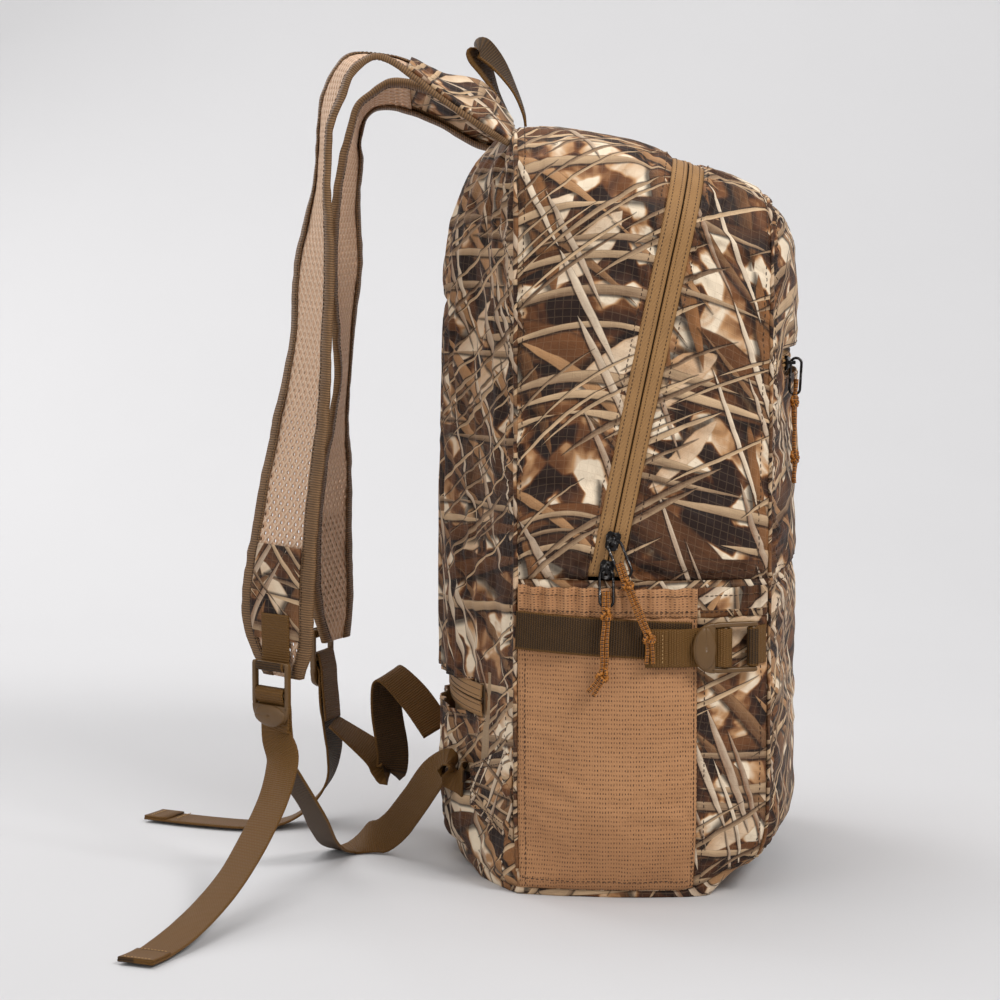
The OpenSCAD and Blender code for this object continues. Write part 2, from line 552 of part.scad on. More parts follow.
module strap_cloth(rows, t0, t1, n, a_max, cols, lo, hi) {
  ts = steps(t0, t1, n);
  side = sign(rows[0][0]);
  as = steps(side * a_max, -side * a_max, cols);
  cloth(grid_of(ts, as, function (t, a) strap_pt(rows, t, a, hi)),
        grid_of(ts, as, function (t, a) strap_pt(rows, t, a, lo)));
}
module strap_mesh(rows) {
  color(mesh_tan) strap_cloth(rows, 3, strap_end, 34, 0.98, 4, -strap_t / 2, strap_t / 2);
}
// Binding tape folded over each edge: a C-shaped section.
module strap_binding(rows) {
  ts = steps(0.1, strap_end, 40);
  face = strap_t / 2 + 0.15;
  skin = face + 0.7;
  side = sign(rows[0][0]);
  color(khaki) for (s = [-1, 1]) tube([for (t = ts) let (w = row_at(rows, t)[5], turn = 9 / w)
    [for (p = [[1 - turn, skin], [1.03, skin], [1.03, -skin], [1 - turn, -skin],
               [1 - turn, -face], [1, -face], [1, face], [1 - turn, face]])
      strap_pt(rows, t, s * p[0], side * s * p[1])]]);
}
// Camouflage reinforcements: the strap's top, and a patch under the buckle's tab.
module strap_patches(rows) {
  color(camo) {
    strap_cloth(rows, 0.1, 2.95, 8, 0.98, 4, -strap_t / 2, strap_t / 2);
    strap_cloth(rows, 15, 17, 5, 0.66, 2, strap_t / 2 + 0.2, strap_t / 2 + 1);
  }
}
module at_lock(i) { translate(lock_at[i]) rotate([0, 0, lock_turn[i]]) children(); }
module strap_tab(i) { at_lock(i) tab_loop(SHOULDER_TAB); }

function to_world(i, p) =
  let (c = cos(lock_turn[i]), s = sin(lock_turn[i]))
  lock_at[i] + [p[0] * c - p[1] * s, p[0] * s + p[1] * c, p[2]];
function through_lock(i, from, to) =
  let (e = to_world(i, [web_w / 2, 0, 0]) - lock_at[i])
  [for (k = [from:to]) let (p = to_world(i, [0, PASS[k][0], PASS[k][1]]))
    [p[0], p[1], p[2], e[0], e[1], e[2]]];
module adjuster_webbing_left() { color(olive) ribbon(concat(through_lock(0, 1, 14), TAIL_LEFT), 2); }
module adjuster_webbing_right() { color(olive) ribbon(concat(through_lock(1, 1, 14), TAIL_RIGHT), 2); }
module lower_webbing_left() { color(olive) ribbon(concat(LOWER_LEFT, [through_lock(0, 0, 0)[0]]), 2); }
module lower_webbing_right() { color(olive) ribbon(concat(LOWER_RIGHT, [through_lock(1, 0, 0)[0]]), 2); }

// ---- Strap wings: folded triangles sewn into the back seam, with the webbing's end in the tip ----

module wing(tip, tip_up, root_low, root_high, lift) {
  rows = 6;
  function point(f, g, o) =
    let (z = lerp(lerp(root_low, root_high, g), tip[2] + lerp(-1, 1, g) * tip_up, f),
         x = lerp(-132, tip[0], f), base = back_at(x, z, 0)[1])
    [x, max(base, lerp(base, tip[1], pow(f, 2) * lift)) + 0.8 + o, z];
  color(camo) cloth([for (f = steps(0, 1, rows)) [for (g = steps(0, 1, 3)) point(f, g, 1.4)]],
                    [for (f = steps(0, 1, rows)) [for (g = steps(0, 1, 3)) point(f, g, 0)]]);
}
module wing_left() { wing([-82, 108, 62], 13, 34, 98, 0); }
module wing_right() { mirror_right() wing([-72, 124, 66], 13, 34, 98, 1); }

// ---- Haul loop: webbing sewn into the top seam, leaning back ----

LOOP = [
  [0, 75.5, 501.5, 12.5, 0, 0], [0, 80.5, 511, 12.4, -0.5, 0.5], [0, 87.5, 525, 12.3, -1.2, 1.2],
  [0, 95, 540, 11.4, -3.5, 4], [0, 100.5, 549.5, 10.4, -4.4, 6], [0, 101.5, 554.5, 10.2, -4.5, 6],
  [0, 96.5, 554.5, 10.2, -4.5, 6], [0, 85.5, 543, 11.4, -3, 4], [0, 75, 526, 12.3, -1.2, 1.2],
  [0, 69, 511, 12.4, -0.5, 0.5], [0, 67.5, 501.5, 12.5, 0, 0]
];
module haul_loop() { color(olive) ribbon(LOOP, 3); }

back_panel();
base_panel();
side_panel_left();
mirror_right() side_panel_left();  // side_panel_right
front_panel_lower();
rear_gusset();
main_zip_tape_rear();
seam_binding_back();
stash_zip_tape();
stash_pocket_bag();
pocket_mesh_left();
mirror_right() pocket_mesh_left();  // pocket_mesh_right
pocket_strip_left();
mirror_right() pocket_strip_left();  // pocket_strip_right
pocket_hem_left();
mirror_right() pocket_hem_left();  // pocket_hem_right
wing_left();
wing_right();
comp_strap_left();
mirror_right() comp_strap_left();  // comp_strap_right
comp_anchor_left();
mirror_right() comp_anchor_left();  // comp_anchor_right
comp_lock_left();
mirror_right() comp_lock_left();  // comp_lock_right
comp_tail_left();
mirror_right() comp_tail_left();  // comp_tail_right
front_gusset();
front_panel_upper();
main_zip_tape_front();
front_zip_tape();
front_pocket_bag();
zip_slider_upper();
zip_slider_lower();
zip_slider_front();
zip_slider_stash();
pull_ring_upper();
pull_ring_lower();
pull_ring_front();
pull_ring_stash();
pull_cord(CORD_UPPER);  // pull_cord_upper
pull_cord(CORD_LOWER);  // pull_cord_lower
pull_cord(CORD_FRONT);  // pull_cord_front
pull_cord(CORD_STASH);  // pull_cord_stash
strap_mesh(STRAP_LEFT);  // strap_mesh_left
strap_mesh(STRAP_RIGHT);  // strap_mesh_right
strap_binding(STRAP_LEFT);  // strap_binding_left
strap_binding(STRAP_RIGHT);  // strap_binding_right
strap_patches(STRAP_LEFT);  // strap_patches_left
strap_patches(STRAP_RIGHT);  // strap_patches_right
strap_tab(0);  // strap_tab_left
strap_tab(1);  // strap_tab_right
at_lock(0) ladder_lock();  // shoulder_lock_left
at_lock(1) ladder_lock();  // shoulder_lock_right
adjuster_webbing_left();
adjuster_webbing_right();
lower_webbing_left();
lower_webbing_right();
haul_loop();
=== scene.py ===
import math

import bpy
import numpy as np
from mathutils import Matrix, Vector


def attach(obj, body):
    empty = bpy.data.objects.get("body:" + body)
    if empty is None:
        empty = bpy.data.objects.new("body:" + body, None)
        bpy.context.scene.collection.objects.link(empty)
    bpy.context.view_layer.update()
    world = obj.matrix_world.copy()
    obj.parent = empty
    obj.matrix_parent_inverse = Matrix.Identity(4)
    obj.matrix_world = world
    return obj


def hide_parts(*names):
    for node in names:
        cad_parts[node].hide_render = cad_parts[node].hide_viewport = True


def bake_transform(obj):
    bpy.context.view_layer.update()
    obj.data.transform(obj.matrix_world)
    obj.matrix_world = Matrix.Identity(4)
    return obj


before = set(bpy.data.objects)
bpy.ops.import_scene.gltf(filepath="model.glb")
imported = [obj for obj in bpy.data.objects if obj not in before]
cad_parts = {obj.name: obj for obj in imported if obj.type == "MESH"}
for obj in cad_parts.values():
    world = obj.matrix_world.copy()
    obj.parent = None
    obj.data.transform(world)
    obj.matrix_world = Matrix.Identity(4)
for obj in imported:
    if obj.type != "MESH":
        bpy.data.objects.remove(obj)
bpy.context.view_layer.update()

MM = 0.001          # the shapes below are worked out in millimetres

# ---- The body's driving sizes, the same as the part's ----

BODY_H = 498
SEAM_HALF = 134
SIDE_BULGE = 12
BACK_BULGE = 45
FRONT_BULGE = 23
CORNER_R = 55
SEAM_BACK = 75
SEAM_FRONT = -90
MID_Y = (SEAM_BACK + SEAM_FRONT) / 2
HALF_DEPTH = (SEAM_BACK - SEAM_FRONT) / 2
TOP_RADIUS = 380
TOP_CENTRE_Y = 85
SPLIT_Z = 209       # the seam where the lid folds
RIM_Z = 14          # where the base pan meets the panels
ZIP_FOOT_Y = 17.8
ZIP_HEAD_Y = -38
TAPE_HALF = 11.4
STASH_Z = 121
FRONT_ZIP_Z = 346
POCKET_DEPTH = 12
POCKET_SPLIT_Y = -42
HEM_Z = (187, 204)
WEB_W = 25
LID_FOLD = ("pack", "lid", (0, -0.1, 0.209), (0, -0.1, 0.325))   # given to the lid's pieces in place of a body name; make() only bakes their transform


def lerp(a, b, t):
    return a + (b - a) * t


def smooth(t):
    t = np.clip(t, 0, 1)
    return t * t * (3 - 2 * t)


def stack(x, y, z):
    return np.stack(np.broadcast_arrays(x, y, z), -1).astype(float)


def unit(v):
    return v / np.maximum(np.linalg.norm(v, axis=-1, keepdims=True), 1e-9)


def tuck(z):
    return 1 - 0.03 * np.maximum(0, 1 - z / 70) ** 2


def half_width(y):
    return SEAM_HALF + SIDE_BULGE * (1 - ((y - MID_Y) / HALF_DEPTH) ** 2)


def top_z(y):
    return BODY_H + np.sqrt(TOP_RADIUS ** 2 - (y - TOP_CENTRE_Y) ** 2) - TOP_RADIUS


def rise(z, y):
    return np.where(z < SPLIT_Z, z, SPLIT_Z + (z - SPLIT_Z) * (top_z(y) - SPLIT_Z) / (BODY_H - SPLIT_Z))


def zip_y(z):
    return lerp(ZIP_FOOT_Y, ZIP_HEAD_Y, np.clip((z - SPLIT_Z) / (BODY_H - SPLIT_Z), 0, 1))


def side_pt(y, z, o=0):
    """The left side below the split, o outwards."""
    return stack(-(half_width(y) * tuck(z) + o), y * tuck(z), z)


def arch_z(t):
    s = np.minimum(t, 5 - t)
    straight = BODY_H - CORNER_R
    return np.where(s < 1, s * straight, straight + CORNER_R * np.sin(np.radians(90 * np.clip(s - 1, 0, 1))))


def gusset_pt(t, y, o=0):
    """The arch up the left side (t 0 to 1), round the corner, over the top and down the right side, o outwards."""
    s = np.minimum(t, 5 - t)
    turn = np.radians(90 * np.clip(s - 1, 0, 1))
    w = half_width(y)
    x = np.where(s < 2, w - CORNER_R + CORNER_R * np.cos(turn), (w - CORNER_R) * (1 - 2 * (s - 2)))
    side = np.where(t < 2.5, -1, 1)
    z = arch_z(t)
    k = tuck(z)
    return stack(side * x * k, y * k, rise(z, y)) + o * stack(side * np.cos(turn), 0, np.sin(turn))


def arch_half(z, w):
    up = z - (BODY_H - CORNER_R)
    return np.where(up <= 0, w, w - CORNER_R + np.sqrt(np.maximum(0, CORNER_R ** 2 - up * up)))


def dome(z, crown):
    return (1 - (1 - np.clip((BODY_H - z) / crown, 0, 1)) ** 2.5) * (1 - 0.06 * np.maximum(0, 1 - z / 60) ** 2)


def back_pt(u, z, o=0):
    return stack(u * arch_half(z, half_width(SEAM_BACK)) * tuck(z),
                 (SEAM_BACK + BACK_BULGE * (1 - u * u) * dome(z, 110)) * tuck(z) + o, rise(z, SEAM_BACK))


def front_pt(u, z, o=0):
    return stack(u * arch_half(z, half_width(SEAM_FRONT)) * tuck(z),
                 (SEAM_FRONT - FRONT_BULGE * (1 - u * u) * dome(z, 50)) * tuck(z) - o, rise(z, SEAM_FRONT))


def back_at(x, z, o=0):
    return back_pt(x / (arch_half(z, half_width(SEAM_BACK)) * tuck(z)), z, o)


def front_z0(z):
    return SPLIT_Z + (z - SPLIT_Z) * (BODY_H - SPLIT_Z) / (top_z(SEAM_FRONT) - SPLIT_Z)


def front_at(x, z, o=0):
    z0 = front_z0(z)
    return front_pt(x / arch_half(z0, half_width(SEAM_FRONT)), z0, o)


def pocket_gap(y, z):
    across = 1 - np.abs((y - MID_Y) / (HALF_DEPTH - 1)) ** 3
    return POCKET_DEPTH * across * (1 - (np.maximum(0, 60 - z) / 46) ** 2) * (1 - 0.5 * np.clip((z - 60) / 144, 0, 1))


def comp_pt(y, dz=0, o=0):
    """On the pocket, along the compression strap, dz over its middle."""
    z = 176 - 0.045 * (SEAM_BACK - y)
    return side_pt(y, z, pocket_gap(y, z) + o) + stack(0, 0, dz)


# ---- Numbers without a random source: value noise on a lattice ----

def lattice(ix, iy, seed):
    n = (ix * 374761393 + iy * 668265263 + seed * 1442695041) & 0x7FFFFFFF
    n = ((n ^ (n >> 13)) * 1274126177) & 0x7FFFFFFF
    return ((n ^ (n >> 16)) & 0xFFFF) / 32767.5 - 1


def noise(x, y=0.0, seed=0):
    """Smooth noise from -1 to 1 with one bump per unit."""
    x, y = np.broadcast_arrays(np.asarray(x, float), np.asarray(y, float))
    ix, iy = np.floor(x).astype(np.int64), np.floor(y).astype(np.int64)
    fx, fy = smooth(x - ix), smooth(y - iy)
    low = lerp(lattice(ix, iy, seed), lattice(ix + 1, iy, seed), fx)
    high = lerp(lattice(ix, iy + 1, seed), lattice(ix + 1, iy + 1, seed), fx)
    return lerp(low, high, fy)


# ---- Meshes ----

def travelled(path):
    """How far each point of a path is from its start."""
    return np.concatenate([[0], np.cumsum(np.linalg.norm(np.diff(path, axis=0), axis=-1))])


def circle(n):
    return np.linspace(0, 2 * math.pi, n, endpoint=False)


def link(name, data):
    obj = bpy.data.objects.new(name, data)
    bpy.context.scene.collection.objects.link(obj)
    return obj


def smooth_faces(mesh):
    mesh.polygons.foreach_set("use_smooth", [True] * len(mesh.polygons))


def refine(a, k, axis=0):
    """A Catmull-Rom curve through the rows of a, with k steps for each one."""
    a = np.moveaxis(np.asarray(a, float), axis, 0)
    t = np.linspace(0, len(a) - 1, (len(a) - 1) * k + 1)
    return np.moveaxis(row_at(a, t), 0, axis)


def row_at(rows, t):
    rows = np.asarray(rows, float)
    i = np.clip(np.floor(t).astype(int), 0, len(rows) - 2)
    f = (t - i).reshape(np.shape(t) + (1,) * (rows.ndim - 1))
    a, b, c, d = rows[np.maximum(i - 1, 0)], rows[i], rows[i + 1], rows[np.minimum(i + 2, len(rows) - 1)]
    return 0.5 * (2 * b + (c - a) * f + (2 * a - 5 * b + 4 * c - d) * f ** 2 + (3 * b - a - 3 * c + d) * f ** 3)


def normals(p):
    return unit(np.cross(np.gradient(p, axis=1), np.gradient(p, axis=0)))


def cut_lengths(p):
    """How far each grid point is along the cloth, across and up, in millimetres from the middle."""
    s = np.zeros(p.shape[:2])
    s[:, 1:] = np.cumsum(np.linalg.norm(np.diff(p, axis=1), axis=-1), axis=1)
    s -= s[:, p.shape[1] // 2][:, None]
    t = np.zeros(p.shape[:2])
    t[1:] = np.cumsum(np.linalg.norm(np.diff(p, axis=0), axis=-1), axis=0)
    return s, t - t[p.shape[0] // 2]


def quads_of(n, m, wrap=False):
    index = np.arange(n * m).reshape(n, m)
    if wrap:
        index = np.concatenate([index, index[:, :1]], 1)
    return np.stack([index[:-1, :-1], index[:-1, 1:], index[1:, 1:], index[1:, :-1]], -1).reshape(-1, 4)


def hose_faces(n, k, round_it, along):
    """The faces between n rings of k corners, and a uv pair for each of their corners."""
    i, j = (a.reshape(-1) for a in np.meshgrid(np.arange(n - 1), np.arange(k), indexing="ij"))
    faces = np.stack([i * k + j, i * k + (j + 1) % k, (i + 1) * k + (j + 1) % k, (i + 1) * k + j], -1)
    uvs = [np.stack([round_it[j + a], along[i + b]], -1) for a, b in ((0, 0), (1, 0), (1, 1), (0, 1))]
    return faces, np.stack(uvs, 1).reshape(-1, 2)


class Piece:
    """Collects shapes in millimetres and makes one object of them."""

    def __init__(self):
        self.points, self.faces, self.uvs, self.mats, self.count = [], [], [], [], 0

    def add(self, points, faces, uvs, mat=0):
        """faces is a list of arrays of corner numbers, uvs one pair for each corner in metres."""
        for f in faces:
            self.faces.extend((np.asarray(f) + self.count).tolist())
            self.mats.extend([mat] * len(f))
        self.uvs.append(np.asarray(uvs, float).reshape(-1, 2))
        self.points.append(np.asarray(points, float).reshape(-1, 3))
        self.count += len(self.points[-1])
        return self

    def cloth(self, points, faces, uv, thick, out=None, mat=0, inner=None):
        """A sheet with a far side thick behind it, and a rim round its edges and holes."""
        points = points.reshape(-1, 3)
        k = len(points)
        out = out.reshape(-1, 3)
        edges = np.concatenate([np.stack([f[:, i], f[:, (i + 1) % f.shape[1]]], -1)
                                for f in faces for i in range(f.shape[1])])
        key, back = edges[:, 0] * k + edges[:, 1], edges[:, 1] * k + edges[:, 0]
        rim = edges[~np.isin(key, back)]
        rims = np.stack([rim[:, 1], rim[:, 0], rim[:, 0] + k, rim[:, 1] + k], -1)
        uv = uv.reshape(-1, 2) * MM
        corner = lambda fs: np.concatenate([uv[f.reshape(-1) % k] for f in fs])
        start = self.count
        both = np.concatenate([points, points - thick * out])
        self.add(both, list(faces) + [rims], corner(list(faces) + [rims]), mat)
        behind = [f[:, ::-1] + k for f in faces]
        self.count = start
        self.add(np.zeros((0, 3)), behind, corner(behind), mat if inner is None else inner)
        self.count = start + 2 * k
        return self

    def sheet(self, p, thick=0.8, uv=None, mat=0, inner=None, skip=None, lift=0.0):
        out = normals(p)
        faces = quads_of(*p.shape[:2])
        if skip is not None:
            faces = faces[~skip.reshape(-1)]
        if uv is None:
            uv = np.stack(cut_lengths(p), -1)
        return self.cloth(p + lift * out, [faces], uv, thick, out, mat, inner)

    def sweep(self, path, across, out, profile, mat=0, closed=False):
        """A closed profile carried along a path: profile is (corners, 2) or one such for each point."""
        profile = np.broadcast_to(np.asarray(profile, float), (len(path),) + np.shape(profile)[-2:])
        rings = path[:, None] + profile[..., :1] * across[:, None] + profile[..., 1:] * out[:, None]
        n, k = rings.shape[:2]
        if closed:
            rings = np.concatenate([rings, rings[:1]])
            n += 1
        along = travelled(rings.mean(1))
        ring = np.concatenate([profile[0], profile[0][:1]])
        round_it = travelled(ring)
        faces, uvs = hose_faces(n, k, round_it, along)
        ends, end_uv = [], []
        if not closed:
            for order in (np.arange(k)[::-1], (n - 1) * k + np.arange(k)):
                ends.append(order[None])
                cap = profile[0][order % k]
                end_uv.append(np.stack([cap[:, 0], cap[:, 1] + along[order[0] // k]], -1))
        return self.add(rings, [faces] + ends, np.concatenate([uvs] + end_uv) * MM, mat)

    def tube(self, path, radius, mat=0, sides=8, closed=False):
        path = np.asarray(path, float)
        along = unit(np.roll(path, -1, 0) - np.roll(path, 1, 0)) if closed else unit(np.gradient(path, axis=0))
        across = [unit(np.cross(along[0], np.array([0.02, 1, 0.2])))]
        for a in along[1:]:
            across.append(unit(across[-1] - a * (across[-1] @ a)))
        across = np.array(across)
        turn = circle(sides)
        ring = np.stack([np.cos(turn), np.sin(turn)], -1)
        profile = ring * np.broadcast_to(radius, (len(path),))[:, None, None]
        return self.sweep(path, across, np.cross(along, across), profile, mat, closed)

    def stitches(self, path, out, pitch=3.2, share=0.72, radius=0.32, lift=0.12, mat=0):
        """A row of thread stitches laid on a surface: spindles whose ends dip in."""
        length = travelled(path)
        starts = np.arange(pitch / 2, length[-1] - pitch, pitch)
        if not len(starts):
            return self
        spot = lambda s, a: np.stack([np.interp(s, length, a[:, i]) for i in range(3)], -1)
        a, b = spot(starts, path), spot(starts + pitch * share, path)
        up = unit(spot(starts + pitch * share / 2, out))
        along = unit(b - a)
        across = np.cross(along, up)
        rings = [a - 0.3 * up]
        turn = circle(6)
        for f in (0.18, 0.82):
            middle = lerp(a, b, f) + lift * up
            rings += [middle + radius * (math.cos(w) * across + math.sin(w) * up) for w in turn]
        rings.append(b - 0.3 * up)
        points = np.stack(rings, 1)
        n = len(starts)
        # one stitch has 14 points: its two tips, 0 and 13, and two rings of six between them
        sides = [(j, (j + 1) % 6) for j in range(6)]
        tips = [(0, 1 + k, 1 + j) for j, k in sides] + [(13, 7 + j, 7 + k) for j, k in sides]
        belly = [(1 + j, 1 + k, 7 + k, 7 + j) for j, k in sides]
        shift = (np.arange(n) * 14)[:, None, None]
        faces = [(np.array(tips)[None] + shift).reshape(-1, 3), (np.array(belly)[None] + shift).reshape(-1, 4)]
        return self.add(points, faces, np.zeros((sum(f.size for f in faces), 2)), mat)

    def make(self, name, body, materials, slot, replaces=(), mirror=False):
        points = np.concatenate(self.points) * MM
        uvs = np.concatenate(self.uvs)
        faces = self.faces
        if mirror:
            points = points * [-1, 1, 1]
            sizes = [len(f) for f in faces]
            cuts = np.cumsum([0] + sizes)
            uvs = np.concatenate([uvs[a:b][::-1] for a, b in zip(cuts[:-1], cuts[1:])])
            faces = [f[::-1] for f in faces]
        mesh = bpy.data.meshes.new(name)
        mesh.from_pydata(points.tolist(), [], faces)
        layer = mesh.uv_layers.new(name="cloth")
        layer.data.foreach_set("uv", uvs.astype(np.float32).ravel())
        for m in materials:
            mesh.materials.append(m)
        mesh.polygons.foreach_set("material_index", self.mats)
        smooth_faces(mesh)
        mesh.update()
        obj = link(name, mesh)
        if isinstance(body, str):
            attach(obj, body)
        else:
            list(body)
            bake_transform(obj)
        if replaces:
            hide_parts(*([replaces] if isinstance(replaces, str) else replaces))
        return obj


def soften(obj, width):
    """Rounds the sharp edges of a hard piece and keeps its flats flat."""
    bevel = obj.modifiers.new("round", "BEVEL")
    bevel.width, bevel.segments = width * MM, 3
    bevel.limit_method, bevel.angle_limit = "ANGLE", math.radians(35)
    obj.data = bpy.data.meshes.new_from_object(obj.evaluated_get(bpy.context.evaluated_depsgraph_get()))
    obj.modifiers.clear()
    smooth_faces(obj.data)
    obj.data.set_sharp_from_angle(angle=math.radians(50))


def settle(grids, frames=16):
    """Cloth simulation: each grid is held by its edges, grows a little, and pressure fills it."""
    made = []
    for name, (p, grow, pressure, cap) in grids.items():
        n, m = p.shape[:2]
        mesh = bpy.data.meshes.new("settle_" + name)
        mesh.from_pydata((p.reshape(-1, 3) * MM).tolist(), [], quads_of(n, m).tolist())
        obj = link("settle_" + name, mesh)
        index = np.arange(n * m).reshape(n, m)
        held = np.unique(np.concatenate([index[0], index[-1], index[:, 0], index[:, -1]])).tolist()
        obj.vertex_groups.new(name="held").add(held, 1.0, "REPLACE")
        cloth = obj.modifiers.new("cloth", "CLOTH")
        s = cloth.settings
        s.quality, s.mass, s.air_damping = 4, 0.12, 4
        s.tension_stiffness = s.compression_stiffness = 12
        s.shear_stiffness, s.bending_stiffness = 4, 0.06
        s.use_pressure, s.uniform_pressure_force = True, pressure
        s.shrink_min = -grow
        s.vertex_group_mass, s.pin_stiffness = "held", 1.0
        s.effector_weights.gravity = 0
        cloth.point_cache.frame_start, cloth.point_cache.frame_end = 1, frames
        made.append((name, obj, p, cap))
    for f in range(1, frames + 1):
        bpy.context.scene.frame_set(f)
    graph = bpy.context.evaluated_depsgraph_get()
    result = {}
    for name, obj, p, cap in made:
        mesh = obj.evaluated_get(graph).data
        co = np.zeros(len(mesh.vertices) * 3, np.float32)
        mesh.vertices.foreach_get("co", co)
        move = co.reshape(p.shape) / MM - p
        far = np.linalg.norm(move, axis=-1, keepdims=True)
        result[name] = p + move * cap * np.tanh(far / cap) / np.maximum(far, 1e-6)
    for _, obj, _, _ in made:
        bpy.data.objects.remove(obj)
    bpy.context.scene.frame_set(1)
    return result


# ---- Materials ----

def srgb(*rgb):
    return tuple(c / 3294.6 if c <= 10.3 else ((c / 255 + 0.055) / 1.055) ** 2.4 for c in rgb) + (1.0,)


class Value:
    """A socket that can be computed with."""

    def __init__(self, graph, socket):
        self.graph, self.socket = graph, socket

    def __add__(self, o):
        return self.graph.math("ADD", self, o)

    def __radd__(self, o):
        return self.graph.math("ADD", o, self)

    def __sub__(self, o):
        return self.graph.math("SUBTRACT", self, o)

    def __rsub__(self, o):
        return self.graph.math("SUBTRACT", o, self)

    def __mul__(self, o):
        return self.graph.math("MULTIPLY", self, o)

    def __rmul__(self, o):
        return self.graph.math("MULTIPLY", o, self)

    def __truediv__(self, o):
        return self.graph.math("DIVIDE", self, o)


class Graph:
    """Short names for building a node tree."""

    def __init__(self, tree):
        self.tree = tree

    def node(self, kind, settings=(), out=0, **inputs):
        n = self.tree.nodes.new(kind)
        for k, v in dict(settings).items():
            setattr(n, k, v)
        for k, v in inputs.items():
            self.put(n.inputs[int(k[1:]) if k[0] == "i" and k[1:].isdigit() else k.replace("_", " ")], v)
        return n if out is None else Value(self, n.outputs[out])

    def put(self, socket, v):
        if isinstance(v, Value):
            self.tree.links.new(v.socket, socket)
        else:
            socket.default_value = v

    def math(self, op, *args):
        return self.node("ShaderNodeMath", {"operation": op}, **{f"i{i}": a for i, a in enumerate(args)})

    def step(self, v, low, high):
        """0 below low, 1 above high, smooth between."""
        return self.node("ShaderNodeMapRange", {"interpolation_type": "SMOOTHSTEP"}, i0=v, i1=low, i2=high)

    def mix(self, f, a, b):
        return self.node("ShaderNodeMix", {"data_type": "RGBA", "clamp_factor": True}, 2, i0=f, i6=a, i7=b)

    def ramp(self, f, *stops):
        n = self.node("ShaderNodeValToRGB", out=None, i0=f)
        while len(n.color_ramp.elements) < len(stops):
            n.color_ramp.elements.new(1)
        for e, (at, colour) in zip(n.color_ramp.elements, stops):
            e.position, e.color = at, colour
        return Value(self, n.outputs[0])

    def noise(self, vector, scale, detail=3.0, rough=0.55, out=0, distortion=0.0):
        return self.node("ShaderNodeTexNoise", out=out, Vector=vector, Scale=scale, Detail=detail, Roughness=rough,
                         Distortion=distortion)

    def random(self, *place, out=0):
        """A random number for each whole place, from two or three numbers, or a colour with out=1."""
        return self.node("ShaderNodeTexWhiteNoise", {"noise_dimensions": f"{len(place)}D"}, out,
                         Vector=self.vector(*place))

    def wave(self, v, pitch):
        """0 to 1 and back once in each pitch."""
        return self.math("SINE", v * (2 * math.pi / pitch)) * 0.5 + 0.5

    def mid(self, v):
        """How far v is from the middle of its cell, 0 to 0.5."""
        return self.math("ABSOLUTE", self.math("FRACT", v) - 0.5)

    def place(self):
        """Place in the object's own frame, in metres."""
        return self.node("ShaderNodeTexCoord", out=3)

    def vector(self, x, y, z=0.0):
        return self.node("ShaderNodeCombineXYZ", i0=x, i1=y, i2=z)

    def split(self, v):
        n = self.node("ShaderNodeSeparateXYZ", out=None, i0=v)
        return [Value(self, n.outputs[i]) for i in range(3)]

    def cloth(self):
        """Place on the cloth: across and along, in metres."""
        return self.node("ShaderNodeUVMap", {"uv_map": "cloth"})


def material(name, build):
    m = bpy.data.materials.new(name)
    m.use_nodes = True
    m.node_tree.nodes.clear()
    g = Graph(m.node_tree)
    shader = g.node("ShaderNodeBsdfPrincipled", out=None)
    end = g.node("ShaderNodeOutputMaterial", out=None)
    m.node_tree.links.new(shader.outputs[0], end.inputs[0])
    build(g, shader)
    return m


def finish_surface(g, shader, colour, rough, height, distance=0.0004, strength=0.6, **fixed):
    g.put(shader.inputs["Base Color"], colour)
    g.put(shader.inputs["Roughness"], rough)
    bump = g.node("ShaderNodeBump", Strength=strength, Distance=distance, Height=height)
    g.put(shader.inputs["Normal"], bump)
    for k, v in fixed.items():
        shader.inputs[k.replace("_", " ")].default_value = v


